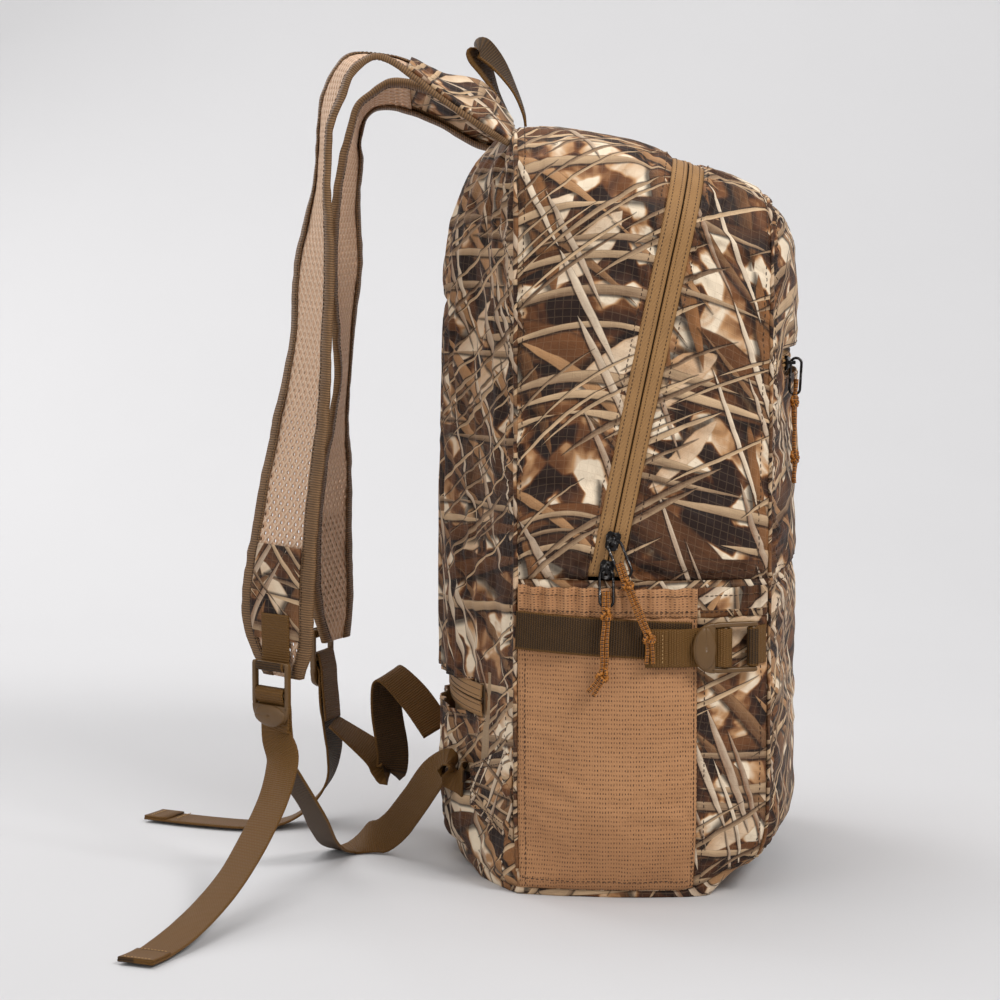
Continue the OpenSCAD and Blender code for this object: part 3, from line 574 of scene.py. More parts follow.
def blade_group():
    """One layer of reeds: tapered blades in rows turned by Angle, over the colour below, with their shadow."""
    tree = bpy.data.node_groups.new("reeds", "ShaderNodeTree")
    kinds = {"Vector": "NodeSocketVector", "Below": "NodeSocketColor", "Dark": "NodeSocketColor",
             "Light": "NodeSocketColor"}
    for n in ("Vector", "Below", "Dark", "Light", "Angle", "Length", "Width", "Density", "Seed", "Bend", "Fibre"):
        tree.interface.new_socket(n, in_out="INPUT", socket_type=kinds.get(n, "NodeSocketFloat"))
    tree.interface.new_socket("Color", in_out="OUTPUT", socket_type="NodeSocketColor")
    g = Graph(tree)
    given = g.node("NodeGroupInput", out=None)
    take = {s.name: Value(g, s) for s in given.outputs if s.name}
    seed = take["Seed"]
    px, py, _ = g.split(take["Vector"])
    spread = g.vector(px + seed * 0.37, py - seed * 0.21)
    wx, wy, _ = g.split(g.noise(spread, 7.0, 1.0, out=1))
    bent = g.vector(px + (wx - 0.5) * take["Bend"], py + (wy - 0.5) * take["Bend"])
    turned = g.node("ShaderNodeVectorRotate", {"rotation_type": "Z_AXIS"}, Vector=bent, Angle=take["Angle"])
    x, y, _ = g.split(turned)
    y = y / take["Width"] + seed * 3.1
    row = g.math("FLOOR", y)
    f = g.math("FRACT", y)
    shift = g.random(row, seed)
    x = x / take["Length"] + shift * 7.3
    column = g.math("FLOOR", x)
    along = g.math("FRACT", x)
    cell = g.random(row, column, seed, out=1)
    r1, r2, r3 = g.split(cell)
    there = g.math("LESS_THAN", r1, take["Density"])
    taper = 1.0 - g.math("POWER", g.math("ABSOLUTE", along * 2.0 - 1.0), 2.5)
    half = taper * (0.16 + r2 * 0.22)
    off = f - 0.5 - (along - 0.5) * (r3 - 0.5) * 0.35
    ragged = (g.noise(g.vector(x * 9.0, y * 1.5), 1.0, 2.0) - 0.5) * 0.05
    d = g.math("ABSOLUTE", off) + ragged
    mask = g.step(half - d, 0.0, 0.03) * there
    shade_d = g.math("ABSOLUTE", off + 0.09)
    shadow = g.step(half - shade_d, -0.12, 0.06) * there
    tone = g.random(column, row, seed + 5.0)
    fibre = g.noise(g.vector(x * 6.0, off * 46.0, r1 * 9.0), 1.0, 3.0, 0.7)
    mottle = g.noise(g.vector(x * 7.0, y * 2.0, r2 * 9.0), 1.0, 3.0, 0.6)
    round_side = off / (half + 0.02)
    lit = tone * 0.62 + (fibre - 0.5) * take["Fibre"] + (mottle - 0.5) * 0.55 + round_side * 0.22 + 0.2
    blade = g.mix(lit, take["Dark"], take["Light"])
    rib = g.step(d / (half + 0.001), 0.72, 1.0)
    blade = g.mix(rib * 0.7, blade, take["Dark"])
    under = g.mix(shadow * 0.85, take["Below"], srgb(26, 12, 5))
    out = g.node("NodeGroupOutput", out=None)
    g.put(out.inputs[0], g.mix(mask, under, blade))
    return tree


REEDS = blade_group()
DARK, UMBER, MID, TAN, SAND, CREAM, PALE = (srgb(*c) for c in (
    (36, 17, 8), (74, 41, 20), (117, 72, 38), (158, 106, 62), (190, 143, 98), (220, 186, 146), (240, 220, 192)))


def camo_colour(g, place):
    """Reeds and leaves in many layers over blurred light and shade."""
    blur = g.noise(place, 24.0, 3.0, 0.55, distortion=0.9)
    spots = g.node("ShaderNodeTexVoronoi", {"feature": "SMOOTH_F1"}, out=1, Vector=place, Scale=52.0, Smoothness=0.25)
    sx, _, _ = g.split(spots)
    colour = g.ramp(blur * 0.85 + sx * 0.40 - 0.1,
                    (0.36, DARK), (0.46, UMBER), (0.54, MID), (0.60, SAND), (0.68, PALE))
    #         angle  length  width density seed bend fibre dark   light
    layers = ((0.35, 0.150, 0.040, 0.30, 1.0, 0.020, 0.6, DARK, MID),
              (2.30, 0.070, 0.034, 0.26, 2.0, 0.034, 0.4, SAND, PALE),
              (1.25, 0.120, 0.026, 0.34, 3.0, 0.016, 0.7, DARK, TAN),
              (-0.25, 0.160, 0.024, 0.30, 4.0, 0.022, 0.8, DARK, MID),
              (0.62, 0.140, 0.015, 0.34, 5.0, 0.012, 0.6, UMBER, SAND),
              (-0.12, 0.170, 0.011, 0.32, 6.0, 0.010, 0.6, UMBER, CREAM),
              (1.05, 0.090, 0.008, 0.30, 7.0, 0.014, 0.5, MID, PALE),
              (2.45, 0.090, 0.0050, 0.32, 8.0, 0.018, 0.4, UMBER, CREAM))
    for angle, length, width, density, seed, bend, fibre, dark, light in layers:
        colour = g.node("ShaderNodeGroup", {"node_tree": REEDS}, Vector=place, Below=colour, Dark=dark,
                        Light=light, Angle=angle, Length=length, Width=width, Density=density, Seed=seed,
                        Bend=bend, Fibre=fibre)
    return colour


def ripstop(g, place):
    """Fine raised grid of a ripstop weave, 0 to 1."""
    x, y, _ = g.split(place)
    return g.math("MAXIMUM", *[g.step(g.mid(v / RIPSTOP), 0.42, 0.49) for v in (x, y)])


# pitches in metres: the ripstop grid, the pocket mesh's slits and the webbing's ribs
RIPSTOP = 0.0052
SLIT_ACROSS, SLIT_UP = 0.00178, 0.0030
WEB_RIB = 0.00165


def build_camo(g, shader):
    place = g.cloth()
    colour = camo_colour(g, place)
    grid = ripstop(g, place)
    colour = g.mix(grid * 0.07, colour, CREAM)
    creases = g.noise(place, 95.0, 4.0, 0.62, distortion=1.2)
    weave = g.noise(place, 2600.0, 1.0)
    height = creases * 1.0 + grid * 0.12 + weave * 0.10
    finish_surface(g, shader, colour, 0.50 + 0.22 * g.noise(place, 60.0), height, 0.0014, 0.7,
                   Specular_IOR_Level=0.3)


def build_lining(g, shader):
    place = g.cloth()
    grid = ripstop(g, place)
    colour = g.mix(g.noise(place, 40.0, 4.0), srgb(150, 122, 92), srgb(176, 148, 114))
    colour = g.mix(grid * 0.25, colour, srgb(196, 170, 136))
    finish_surface(g, shader, colour, 0.62, g.noise(place, 90.0, 4.0) + grid * 0.2, 0.001, 0.5)


def build_pocket_mesh(g, shader):
    """Knitted pocket cloth: short slits in rows and columns, more open in some places than in others; the slits are
    painted dark as the shade seen through the openings.
    """
    place = g.cloth()
    x, y, _ = g.split(place)
    uneven = (g.noise(place, 160.0, 2.0) - 0.5) * 0.5
    column, row = x / SLIT_ACROSS + uneven, y / SLIT_UP + uneven
    fx, fy = g.mid(column), g.mid(row)
    cell = g.random(g.math("FLOOR", column), g.math("FLOOR", row))
    slit = (1.0 - g.step(fx, 0.10, 0.24)) * (1.0 - g.step(fy, 0.14, 0.27)) * (0.35 + cell * 0.65)
    wale = g.wave(x, SLIT_ACROSS / 2)
    cloudy = g.noise(place, 22.0, 4.0, 0.6)
    colour = g.mix(cloudy, srgb(158, 106, 64), srgb(194, 140, 94))
    colour = g.mix(wale * 0.22, colour, srgb(216, 168, 120))
    # painted shade: the slits turn dark brown for the shade behind the mesh, whose openings are not cut
    colour = g.mix(slit * 0.95, colour, srgb(50, 24, 12))
    height = wale * 0.35 - slit * 1.2 + g.noise(place, 900.0) * 0.3
    finish_surface(g, shader, colour, 0.72, height, 0.0004, 0.8)


def build_spacer(g, shader):
    """Spacer mesh of the shoulder straps: a knitted diamond net round the holes."""
    place = g.cloth()
    x, y, _ = g.split(place)
    diamond = [g.mid(v) for v in (x / 0.0072 + y / 0.0083, x / 0.0072 - y / 0.0083)]
    net = g.step(g.math("MINIMUM", *diamond), 0.03, 0.22)
    thread = g.noise(g.vector(x * 1500.0, y * 420.0), 1.0, 2.0)
    colour = g.mix(net, srgb(240, 212, 184), srgb(214, 172, 138))
    colour = g.mix(thread * 0.5, colour, srgb(176, 132, 100))
    finish_surface(g, shader, colour, 0.7, (1.0 - net) * 0.9 + thread * 0.3, 0.0005, 0.8)


def build_grosgrain(dark, light, rib):
    def build(g, shader):
        place = g.cloth()
        x, y, _ = g.split(place)
        wave = g.wave(y + (g.noise(place, 300.0) - 0.5) * rib * 0.35, rib)
        worn = g.noise(place, 70.0, 4.0, 0.65)
        colour = g.mix(wave * 0.65 + worn * 0.5 - 0.1, dark, light)
        fibre = g.noise(g.vector(x * 3000.0, y * 900.0), 1.0, 2.0)
        finish_surface(g, shader, g.mix(fibre * 0.3, colour, dark), 0.66, wave + fibre * 0.35, 0.0003, 0.9)
    return build


def build_webbing(g, shader):
    """Nylon webbing: ribs across, a fine twill along, and thicker golden edges."""
    place = g.cloth()
    x, y, _ = g.split(place)
    rib = g.wave(y, WEB_RIB)
    twill = g.math("SINE", x * (2 * math.pi / 0.0012) + g.math("FLOOR", y / WEB_RIB) * math.pi) * 0.5 + 0.5
    edge = g.step(g.math("ABSOLUTE", x - 0.0125), 0.0108, 0.0122)
    worn = g.noise(place, 120.0, 4.0, 0.6)
    colour = g.mix(rib * 0.5 + twill * 0.3 + worn * 0.35 - 0.1, srgb(24, 13, 2), srgb(92, 62, 22))
    colour = g.mix(edge * 0.5, colour, srgb(132, 90, 34))
    finish_surface(g, shader, colour, 0.6, rib * 0.8 + twill * 0.5, 0.00045, 1.0, Specular_IOR_Level=0.3)


def build_tape(g, shader):
    place = g.cloth()
    x, y, _ = g.split(place)
    twill = g.wave(x + y * 0.6, 0.0011)
    worn = g.noise(place, 55.0, 4.0, 0.6)
    colour = g.mix(worn, srgb(132, 92, 48), srgb(168, 124, 72))
    colour = g.mix(twill * 0.35, colour, srgb(190, 146, 92))
    finish_surface(g, shader, colour, 0.6, twill + g.noise(place, 1500.0) * 0.4, 0.0002, 0.8)


def build_cord(g, shader):
    """Braided cord: gold with near-black flecks in two crossing spirals, and painted shade in the grooves between its
    strands.
    """
    place = g.cloth()
    x, y, _ = g.split(place)
    a = g.math("SINE", (y / 0.0024 + x / 0.0082) * (2 * math.pi))
    b = g.math("SINE", (y / 0.0024 - x / 0.0082) * (2 * math.pi))
    braid = g.math("MAXIMUM", a, b) * 0.5 + 0.5
    fleck = g.step(g.math("MULTIPLY", a, b), 0.28, 0.62)
    # painted shade and highlight: the braid goes dark brown in the grooves between strands and bright gold on their
    # crests
    colour = g.mix(braid, srgb(84, 44, 8), srgb(186, 116, 34))
    colour = g.mix(fleck * 0.9, colour, srgb(24, 13, 5))
    finish_surface(g, shader, colour, 0.55, braid, 0.0004, 1.0)


def build_plastic(g, shader):
    """Moulded buckle plastic: even colour, fine grain, rubbed where it is handled."""
    place = g.place()
    rub = g.noise(place, 60.0, 4.0, 0.6)
    colour = g.mix(rub, srgb(84, 58, 24), srgb(112, 80, 40))
    finish_surface(g, shader, colour, 0.34 + 0.16 * rub, g.noise(place, 1400.0, 2.0), 0.0001, 0.35,
                   Specular_IOR_Level=0.5)


def build_metal(g, shader):
    """Black-nickel zinc: dark, with brighter rubbed places."""
    place = g.place()
    rub = g.step(g.noise(place, 320.0, 4.0, 0.65), 0.52, 0.74)
    colour = g.mix(rub, srgb(46, 44, 44), srgb(150, 146, 142))
    finish_surface(g, shader, colour, 0.32 - 0.1 * rub, g.noise(place, 900.0), 0.0001, 0.3, Metallic=1.0)


def build_thread(dark, light):
    def build(g, shader):
        place = g.place()
        colour = g.mix(g.noise(place, 900.0), dark, light)
        finish_surface(g, shader, colour, 0.6, g.noise(place, 4000.0), 0.0002, 0.5)
    return build


def build_paper(g, shader):
    colour = g.mix(g.noise(g.place(), 3.0), srgb(206, 205, 206), srgb(210, 209, 210))
    finish_surface(g, shader, colour, 0.85, g.noise(g.place(), 400.0), 0.0002, 0.1)


CAMO = material("camo_cloth", build_camo)
LINING = material("lining_cloth", build_lining)
POCKET = material("pocket_mesh_cloth", build_pocket_mesh)
SPACER = material("spacer_mesh_cloth", build_spacer)
BINDING = material("binding_tape", build_grosgrain(srgb(70, 46, 24), srgb(158, 118, 74), 0.0016))
WEBBING = material("webbing_cloth", build_webbing)
TAPE = material("zip_tape_cloth", build_tape)
COIL = material("zip_coil", build_grosgrain(srgb(22, 13, 7), srgb(84, 60, 34), 0.0014))
CORD = material("pull_cord_braid", build_cord)
PLASTIC = material("buckle_plastic", build_plastic)
METAL = material("black_nickel", build_metal)
BROWN_THREAD = material("brown_thread", build_thread(srgb(34, 20, 10), srgb(74, 46, 24)))
GOLD_THREAD = material("gold_thread", build_thread(srgb(140, 104, 58), srgb(206, 166, 108)))


# ---- Camera, lights and floor ----

def camera():
    cam = bpy.data.cameras.new("camera")
    obj = link("camera", cam)
    cam.lens, cam.sensor_width, cam.shift_y = 112.2, 36, -0.07
    obj.location = (-2.14, 0.085, 0.49)
    pitch = math.radians(5.25)
    obj.rotation_euler = (math.pi / 2 - pitch, 0, -math.pi / 2)
    bpy.context.scene.camera = obj


def area_light(name, at, target, size, power):
    light = bpy.data.lights.new(name, "AREA")
    light.shape, light.size, light.size_y = "RECTANGLE", *size
    light.energy = power
    obj = link(name, light)
    obj.location = at
    obj.rotation_euler = (Vector(target) - Vector(at)).to_track_quat("-Z", "Y").to_euler()


def studio():
    area_light("key", (-1.5, -1.3, 2.0), (0, 0, 0.25), (0.8, 0.8), 38)
    area_light("fill", (-1.6, 1.9, 1.0), (0, 0.05, 0.25), (1.6, 1.4), 9)
    area_light("top", (0.2, 0.4, 2.4), (0, 0, 0.3), (1.2, 1.2), 16)
    area_light("rim", (1.3, 1.2, 1.3), (0, 0.1, 0.4), (0.9, 1.2), 10)
    area_light("wall", (1.3, 0, 2.6), (2.8, 0, 1.1), (3.5, 1.0), 20)
    world = bpy.data.worlds.new("studio")
    bpy.context.scene.world = world
    world.use_nodes = True
    colour, strength = world.node_tree.nodes["Background"].inputs[:2]
    colour.default_value, strength.default_value = (1, 1, 1, 1), 0.45
    # a sheet of paper: flat floor, one wide curve, then straight up
    sweep_r, foot, far = 1900, 700, 6000
    turn = np.radians(np.linspace(0, 90, 90))
    x = np.concatenate([[-far], foot + sweep_r * np.sin(turn), [foot + sweep_r]])
    z = np.concatenate([[0], sweep_r * (1 - np.cos(turn)), [far]])
    p = stack(x[:, None], np.array([far, -far])[None], z[:, None])
    mesh = bpy.data.meshes.new("floor")
    mesh.from_pydata((p.reshape(-1, 3) * MM).tolist(), [], quads_of(len(x), 2)[:, ::-1].tolist())
    smooth_faces(mesh)
    mesh.materials.append(material("paper", build_paper))
    link("floor", mesh)


bpy.context.scene.view_settings.view_transform = "Standard"
camera()
studio()


# ---- Pull cords: a doubled cord, tied under its ring and again at its end ----

STRAND_R = 1.3
ROUTES = {
    "upper": [(-155.6, 8.6, 222), (-159, 5, 212), (-160.5, 1, 203), (-162.8, -3, 193), (-165.3, -7, 183),
              (-166.8, -10, 176), (-166, -11, 168), (-165, -11, 158)],
    "lower": [(-157.5, 16.8, 204), (-161.6, 17, 193), (-162.5, 17, 183), (-163, 18, 172), (-163, 18, 160),
              (-163.5, 19, 151), (-163.5, 22, 145), (-163, 27, 138)],
    "front": [(-85.4, -110.7, 335), (-85.4, -110, 324), (-85.3, -109.8, 313), (-85.2, -109.8, 303),
              (-85.1, -110, 292), (-85, -110.3, 284), (-85, -110.3, 276), (-85, -110, 266)],
    "stash": [(64, 116.6, 110), (63.8, 115.8, 99), (63.6, 115.4, 87), (63.5, 115.2, 75), (63.5, 115.2, 65),
              (63.5, 115.2, 57), (63.5, 115, 49), (63.5, 114, 40)]}


def knot(piece, centre, along, across, size):
    """A tight overhand knot: a squeezed trefoil of the same strand."""
    t = circle(60)
    u = np.cross(along, across)
    x = (np.sin(t) + 2 * np.sin(2 * t)) / 3
    y = (np.cos(t) - 2 * np.cos(2 * t)) / 3
    z = -np.sin(3 * t)
    path = centre + size * (x[:, None] * across + y[:, None] * along * 1.1 + 0.5 * z[:, None] * u)
    piece.tube(path, STRAND_R, sides=8, closed=True)


def pull_cord(name, route, out):
    path = refine(np.array(route, float), 8)
    along = unit(np.gradient(path, axis=0))
    out = np.array(out, float)
    across = unit(np.cross(along, out))
    length = travelled(path)[-1]
    share = np.linspace(0, 1, len(path))
    piece = Piece()
    spread = 1.4 + 0.8 * smooth((share - 0.82) / 0.18) - 0.1 * np.cos(share * 20)
    for side in (-1, 1):
        weave = 0.35 * np.sin(share * 18 + side)
        piece.tube(path + side * spread[:, None] * across + weave[:, None] * out, STRAND_R, sides=8)
    for at, size in ((0.2, 3.3), (0.74, 3.7)):
        i = int(at * (len(path) - 1))
        knot(piece, path[i], along[i], across[i], size)
    obj = piece.make("cord_" + name, "pull_" + name, [CORD], "pull_cord", "pull_cord_" + name)


for pull, outwards in (("upper", (-1, 0, 0)), ("lower", (-1, 0, 0)), ("front", (0, -1, 0)), ("stash", (0, 1, 0))):
    pull_cord(pull, ROUTES[pull], outwards)


# ---- Sewn panels ----

def grid(f, rows, cols):
    r, c = np.meshgrid(np.asarray(rows, float), np.asarray(cols, float), indexing="ij")
    return sag(f(r, c))


def lines(low, high, step, through=()):
    """Even values from low to high that pass exactly through the given ones."""
    marks = [low, *through, high]
    made = [low]
    for a, b in zip(marks[:-1], marks[1:]):
        made += np.linspace(a, b, max(1, round(abs(b - a) / abs(step))) + 1)[1:].tolist()
    return np.array(made)


def skip_between(rows, cols, row_band, col_band, k):
    """Faces of a refined grid that lie inside an opening."""
    inside = []
    for values, band in ((rows, row_band), (cols, col_band)):
        at = np.linspace(0, len(values) - 1, (len(values) - 1) * k + 1)
        fine = np.interp(at, range(len(values)), values)
        middle = (fine[1:] + fine[:-1]) / 2
        inside.append((middle > band[0]) & (middle < band[1]))
    return inside[0][:, None] & inside[1][None]


def sag(p):
    """The cloth rests lowest under the sides' middle and tucks up and in under the front."""
    p = p.copy()
    low = np.clip(1 - p[..., 2] / 55, 0, 1) ** 2
    ahead = smooth((-30 - p[..., 1]) / 60)
    side = smooth((np.abs(p[..., 0]) - 60) / 60)
    p[..., 1] += 11 * low * ahead
    p[..., 2] = np.maximum(p[..., 2] + low * (18 * ahead - 17 * (1 - ahead) * side), 0.15)
    return p


STEP = 4.5          # the simulated grids' spacing
FINER = 2           # how many times finer the finished cloth is
CLOTH_T = 0.9
ARCH_FOOT = SPLIT_Z / (BODY_H - CORNER_R)


def arch_ts(foot, n_side, n_corner, n_top):
    left = np.concatenate([np.linspace(foot, 1, n_side + 1)[:-1], np.linspace(1, 2, n_corner + 1)[:-1],
                           np.linspace(2, 2.5, n_top + 1)])
    return np.concatenate([left, 5 - left[-2::-1]])


side_ts = arch_ts(ARCH_FOOT, 52, 18, 20)
rear_cols = np.linspace(0, 1, 25)
front_cols = np.linspace(0, 1, 19)


def rear_gusset_pt(t, f):
    return gusset_pt(t, lerp(SEAM_BACK, zip_y(arch_z(t)) + TAPE_HALF - 1, f))


def front_gusset_pt(t, f):
    return gusset_pt(t, lerp(zip_y(arch_z(t)) - TAPE_HALF + 1, SEAM_FRONT, f))


U_STASH = 95 / half_width(SEAM_BACK)
U_FRONT = 98 / half_width(SEAM_FRONT)
BAND_STASH = (STASH_Z - 11, STASH_Z + 11)
BAND_FRONT = (front_z0(FRONT_ZIP_Z - 9), front_z0(FRONT_ZIP_Z + 9))
back_zs = lines(RIM_Z, BODY_H - 0.6, STEP, BAND_STASH)
back_us = lines(1, -1, STEP / SEAM_HALF, (U_STASH, -U_STASH))
front_us = lines(-1, 1, STEP / SEAM_HALF, (-U_FRONT, U_FRONT))
upper_zs = lines(SPLIT_Z, BODY_H - 0.6, STEP, BAND_FRONT)
lower_zs = lines(RIM_Z, SPLIT_Z, STEP)
side_ys = lines(SEAM_BACK, SEAM_FRONT, STEP)
mesh_ys = lines(SEAM_BACK - 1.5, POCKET_SPLIT_Y, STEP)
strip_ys = lines(POCKET_SPLIT_Y, SEAM_FRONT + 1.5, STEP)
pocket_zs = lines(RIM_Z + 0.5, HEM_Z[0], STEP)


def pocket_pt(z, y):
    return side_pt(y, z, pocket_gap(y, z) + 1.2)


#            grid of points, growth, pressure, furthest move
GRIDS = {
    "back": (grid(lambda z, u: back_pt(u, z), back_zs, back_us), 0.030, 1.5, 5),
    "front_upper": (grid(lambda z, u: front_pt(u, z), upper_zs, front_us), 0.022, 1.5, 4),
    "front_lower": (grid(lambda z, u: front_pt(u, z), lower_zs, front_us), 0.022, 1.5, 4),
    "rear_gusset": (grid(rear_gusset_pt, side_ts, rear_cols), 0.024, 1.5, 4),
    "front_gusset": (grid(front_gusset_pt, side_ts, front_cols), 0.024, 1.5, 4),
    "side": (grid(lambda z, y: side_pt(y, z), lower_zs, side_ys), 0.01, 0.5, 2),
    "pocket": (grid(pocket_pt, pocket_zs, mesh_ys), 0.010, 0.6, 2.0),
    "strip": (grid(pocket_pt, pocket_zs, strip_ys), 0.016, 0.6, 2.0),
}
settled = settle(GRIDS)


class Panel:
    """A settled grid made finer, with small folds on it, and places for its stitches."""

    def __init__(self, name, k, fold, print_at, turn=0.0):
        rest = refine(refine(GRIDS[name][0], k, 0), k, 1)
        self.s, self.t = cut_lengths(rest)
        p = refine(refine(settled[name], k, 0), k, 1)
        across, up = self.s - self.s[:, :1], self.t - self.t[:1]
        self.edges = (across, self.s[:, -1:] - self.s, up, self.t[-1:] - self.t)
        self.p = p + fold(self.s, self.t, self.edges)[..., None] * normals(p)
        self.out = normals(self.p)
        c, s = math.cos(turn), math.sin(turn)
        self.uv = np.stack([c * self.s - s * self.t + print_at[0], s * self.s + c * self.t + print_at[1]], -1)

    def row(self, i=None, j=None, lift=0.0, part=slice(None)):
        """The grid line that is i rows from the bottom or j columns from the start, with its normals."""
        p = self.p[i] if j is None else self.p[:, j]
        out = self.out[i] if j is None else self.out[:, j]
        return (p + lift * out)[part], out[part]


def pucker(along, dist, wave, depth, reach, seed):
    """Gathers beside a seam: short folds across it that die away."""
    phase = along / wave + 1.6 * noise(along / 31, dist / 40, seed)
    size = depth * (0.65 + 0.5 * noise(along / 23, 0, seed + 1)) * np.exp(-dist / reach)
    return size * np.sin(2 * math.pi * phase) * smooth(dist / 2.5)


def crumple(s, t, long_way, wave, depth, seed):
    """Loose creases that run along one way: long_way 0 across, 1 up."""
    a, b = (t, s) if long_way else (s, t)
    ridge = 1 - np.abs(noise(a / (wave * 4.5) + 0.5 * noise(b / 40, a / 60, seed + 7), b / wave, seed)) * 2
    return depth * (ridge + 0.5 * noise(a / wave / 2, b / (wave * 0.55), seed + 3))


def keep_edges(edges, reach=5):
    left, right, low, high = edges
    return smooth(left / reach) * smooth(right / reach) * smooth(low / reach) * smooth(high / reach)


def back_fold(s, t, e):
    d = crumple(s, t, 1, 14, 1.7, 11) + 1.7 * noise(s / 6.0 + 0.8 * noise(t / 45, s / 30, 14), t / 90, 12)
    d = d * keep_edges(e, 7)
    sides = pucker(t, e[0], 11, 1.3, 14, 21) + pucker(t, e[1], 11, 1.3, 14, 22)
    return d + sides + pucker(s, e[3], 9, 2.0, 30, 23) + pucker(s, e[2], 14, 1.2, 16, 24)


def front_fold(seed):
    def fold(s, t, e):
        d = (crumple(s, t, 0, 20, 1.2, seed) + 0.8 * noise(s / 30, t / 12, seed + 8)) * keep_edges(e, 7)
        return (d + pucker(t, e[0], 12, 1.1, 15, seed + 1) + pucker(t, e[1], 12, 1.1, 15, seed + 2)
                + pucker(s, e[3], 11, 1.3, 18, seed + 3) + pucker(s, e[2], 12, 1.0, 14, seed + 4))
    return fold


def gusset_fold(seed):
    def fold(s, t, e):
        d = (crumple(s, t, 0, 15, 1.0, seed) + 1.3 * noise(s / 26, t / 20, seed + 9)) * keep_edges(e, 6)
        return (d + pucker(t, e[0], 12, 1.6, 16, seed + 1) + pucker(t, e[1], 9, 0.5, 7, seed + 2)
                + pucker(s, e[3], 12, 1.2, 13, seed + 3) + pucker(s, e[2], 12, 1.2, 13, seed + 4))
    return fold


def pocket_fold(seed, depth):
    def fold(s, t, e):
        d = depth * noise(s / 30 + t / 60, t / 55, seed) + 0.9 * noise(s / 22 - t / 26, t / 70 + s / 60, seed + 5)
        d = d * keep_edges(e, 9)
        # held flat under the compression strap
        flat = 1 - 0.85 * np.exp(-((t - t.max() + 22) / 16) ** 2)
        return (d + pucker(s, e[3], 13, 1.3, 9, seed + 1)) * flat + pucker(s, e[2], 15, 0.5, 10, seed + 2)
    return fold


back = Panel("back", FINER, back_fold, (40, 300), 0.08)
front_upper = Panel("front_upper", FINER, front_fold(40), (700, 120), -0.1)
front_lower = Panel("front_lower", FINER, front_fold(50), (700, -170), -0.1)
rear_gusset = Panel("rear_gusset", FINER, gusset_fold(60), (150, 900))
front_gusset = Panel("front_gusset", FINER, gusset_fold(70), (430, 900))
side = Panel("side", 1, pocket_fold(80, 0.6), (900, 500))
pocket = Panel("pocket", FINER, pocket_fold(90, 0.8), (0, 0))
strip = Panel("strip", FINER, pocket_fold(95, 0.6), (1200, 60), 0.2)

PRINT = [CAMO, LINING]
SIDES = ((False, "left"), (True, "right"))      # mirrored or not, and the side's name


def cloth(panel, name, body, slot, replaced, mats=PRINT, skip=None, mirror=False):
    inner = 1 if mats is PRINT else None
    Piece().sheet(panel.p, CLOTH_T, panel.uv, inner=inner, skip=skip).make(name, body, mats, slot, replaced, mirror)


def panels():
    back_skip = skip_between(back_zs, back_us, BAND_STASH, (-U_STASH, U_STASH), FINER)
    upper_skip = skip_between(upper_zs, front_us, BAND_FRONT, (-U_FRONT, U_FRONT), FINER)
    camo = "camo_fabric"
    cloth(back, "back_panel_cloth", "pack", camo, "back_panel", skip=back_skip)
    cloth(front_upper, "front_panel_cloth", LID_FOLD, camo, "front_panel_upper", skip=upper_skip)
    cloth(front_lower, "front_foot_cloth", "pack", camo, "front_panel_lower")
    cloth(rear_gusset, "rear_gusset_cloth", "pack", camo, "rear_gusset")
    cloth(front_gusset, "front_gusset_cloth", LID_FOLD, camo, "front_gusset")
    for mirror, name in SIDES:
        cloth(side, "side_panel_cloth_" + name, "pack", camo, "side_panel_" + name, mirror=mirror)
        cloth(pocket, "pocket_cloth_" + name, "pack", "pocket_mesh", "pocket_mesh_" + name, [POCKET], mirror=mirror)
        cloth(strip, "pocket_strip_cloth_" + name, "pack", camo, "pocket_strip_" + name, mirror=mirror)


def base_pan():
    ys = np.linspace(SEAM_FRONT, SEAM_BACK, 34)
    us = np.linspace(-1, 1, 46)
    outline = np.concatenate([side_pt(ys[:-1], RIM_Z), back_pt(us[:-1], RIM_Z),
                              side_pt(ys[:0:-1], RIM_Z) * [-1, 1, 1], front_pt(us[:0:-1], RIM_Z)])
    # share of the outline, and height
    shares = refine([(1, RIM_Z), (0.996, 9), (0.982, 4), (0.955, 1.0), (0.93, 0.25), (0.86, 0.2), (0.6, 0.2),
                     (0.3, 0.2), (0.02, 0.2)], 4)
    rows = outline[None] * stack(shares[:, :1], shares[:, :1], 0) + stack(0, 0, shares[:, 1:])
    rows = np.concatenate([rows, rows[:, :1]], 1)
    s, t = cut_lengths(rows)
    bumps = 0.7 * noise(s / 14, t / 10, 31) * smooth(t - t[0] - 2) * smooth(shares[:, 1] / 6)[:, None]
    p = sag(rows + bumps[..., None] * normals(rows))
    Piece().sheet(p, CLOTH_T, np.stack([s + 300, t + 1500], -1), inner=1).make(
        "base_pan_cloth", "pack", PRINT, "camo_fabric", "base_panel")


panels()
base_pan()


# ---- Seams: a rolled ridge of cloth with thread through it ----

def ridge(piece, path, across, out, radius, seed):
    along = travelled(path)
    wob = 0.35 * noise(along / 7, 0, seed)[:, None] * across + 0.3 * noise(along / 5, 3, seed)[:, None] * out
    turn = circle(8)
    profile = np.stack([radius * np.cos(turn), radius * np.sin(turn)], -1)
    profile = profile[None] * (1 + 0.25 * noise(along / 6, 9, seed))[:, None, None]
    piece.sweep(path + wob, across, out, profile)


def arch_frames(ts, y, o=0.0):
    path = gusset_pt(ts, y, o)
    out = unit(gusset_pt(ts, y, 1.0) - gusset_pt(ts, y, 0.0))
    return path, stack(0 * ts, 0 * ts + 1, 0 * ts), out


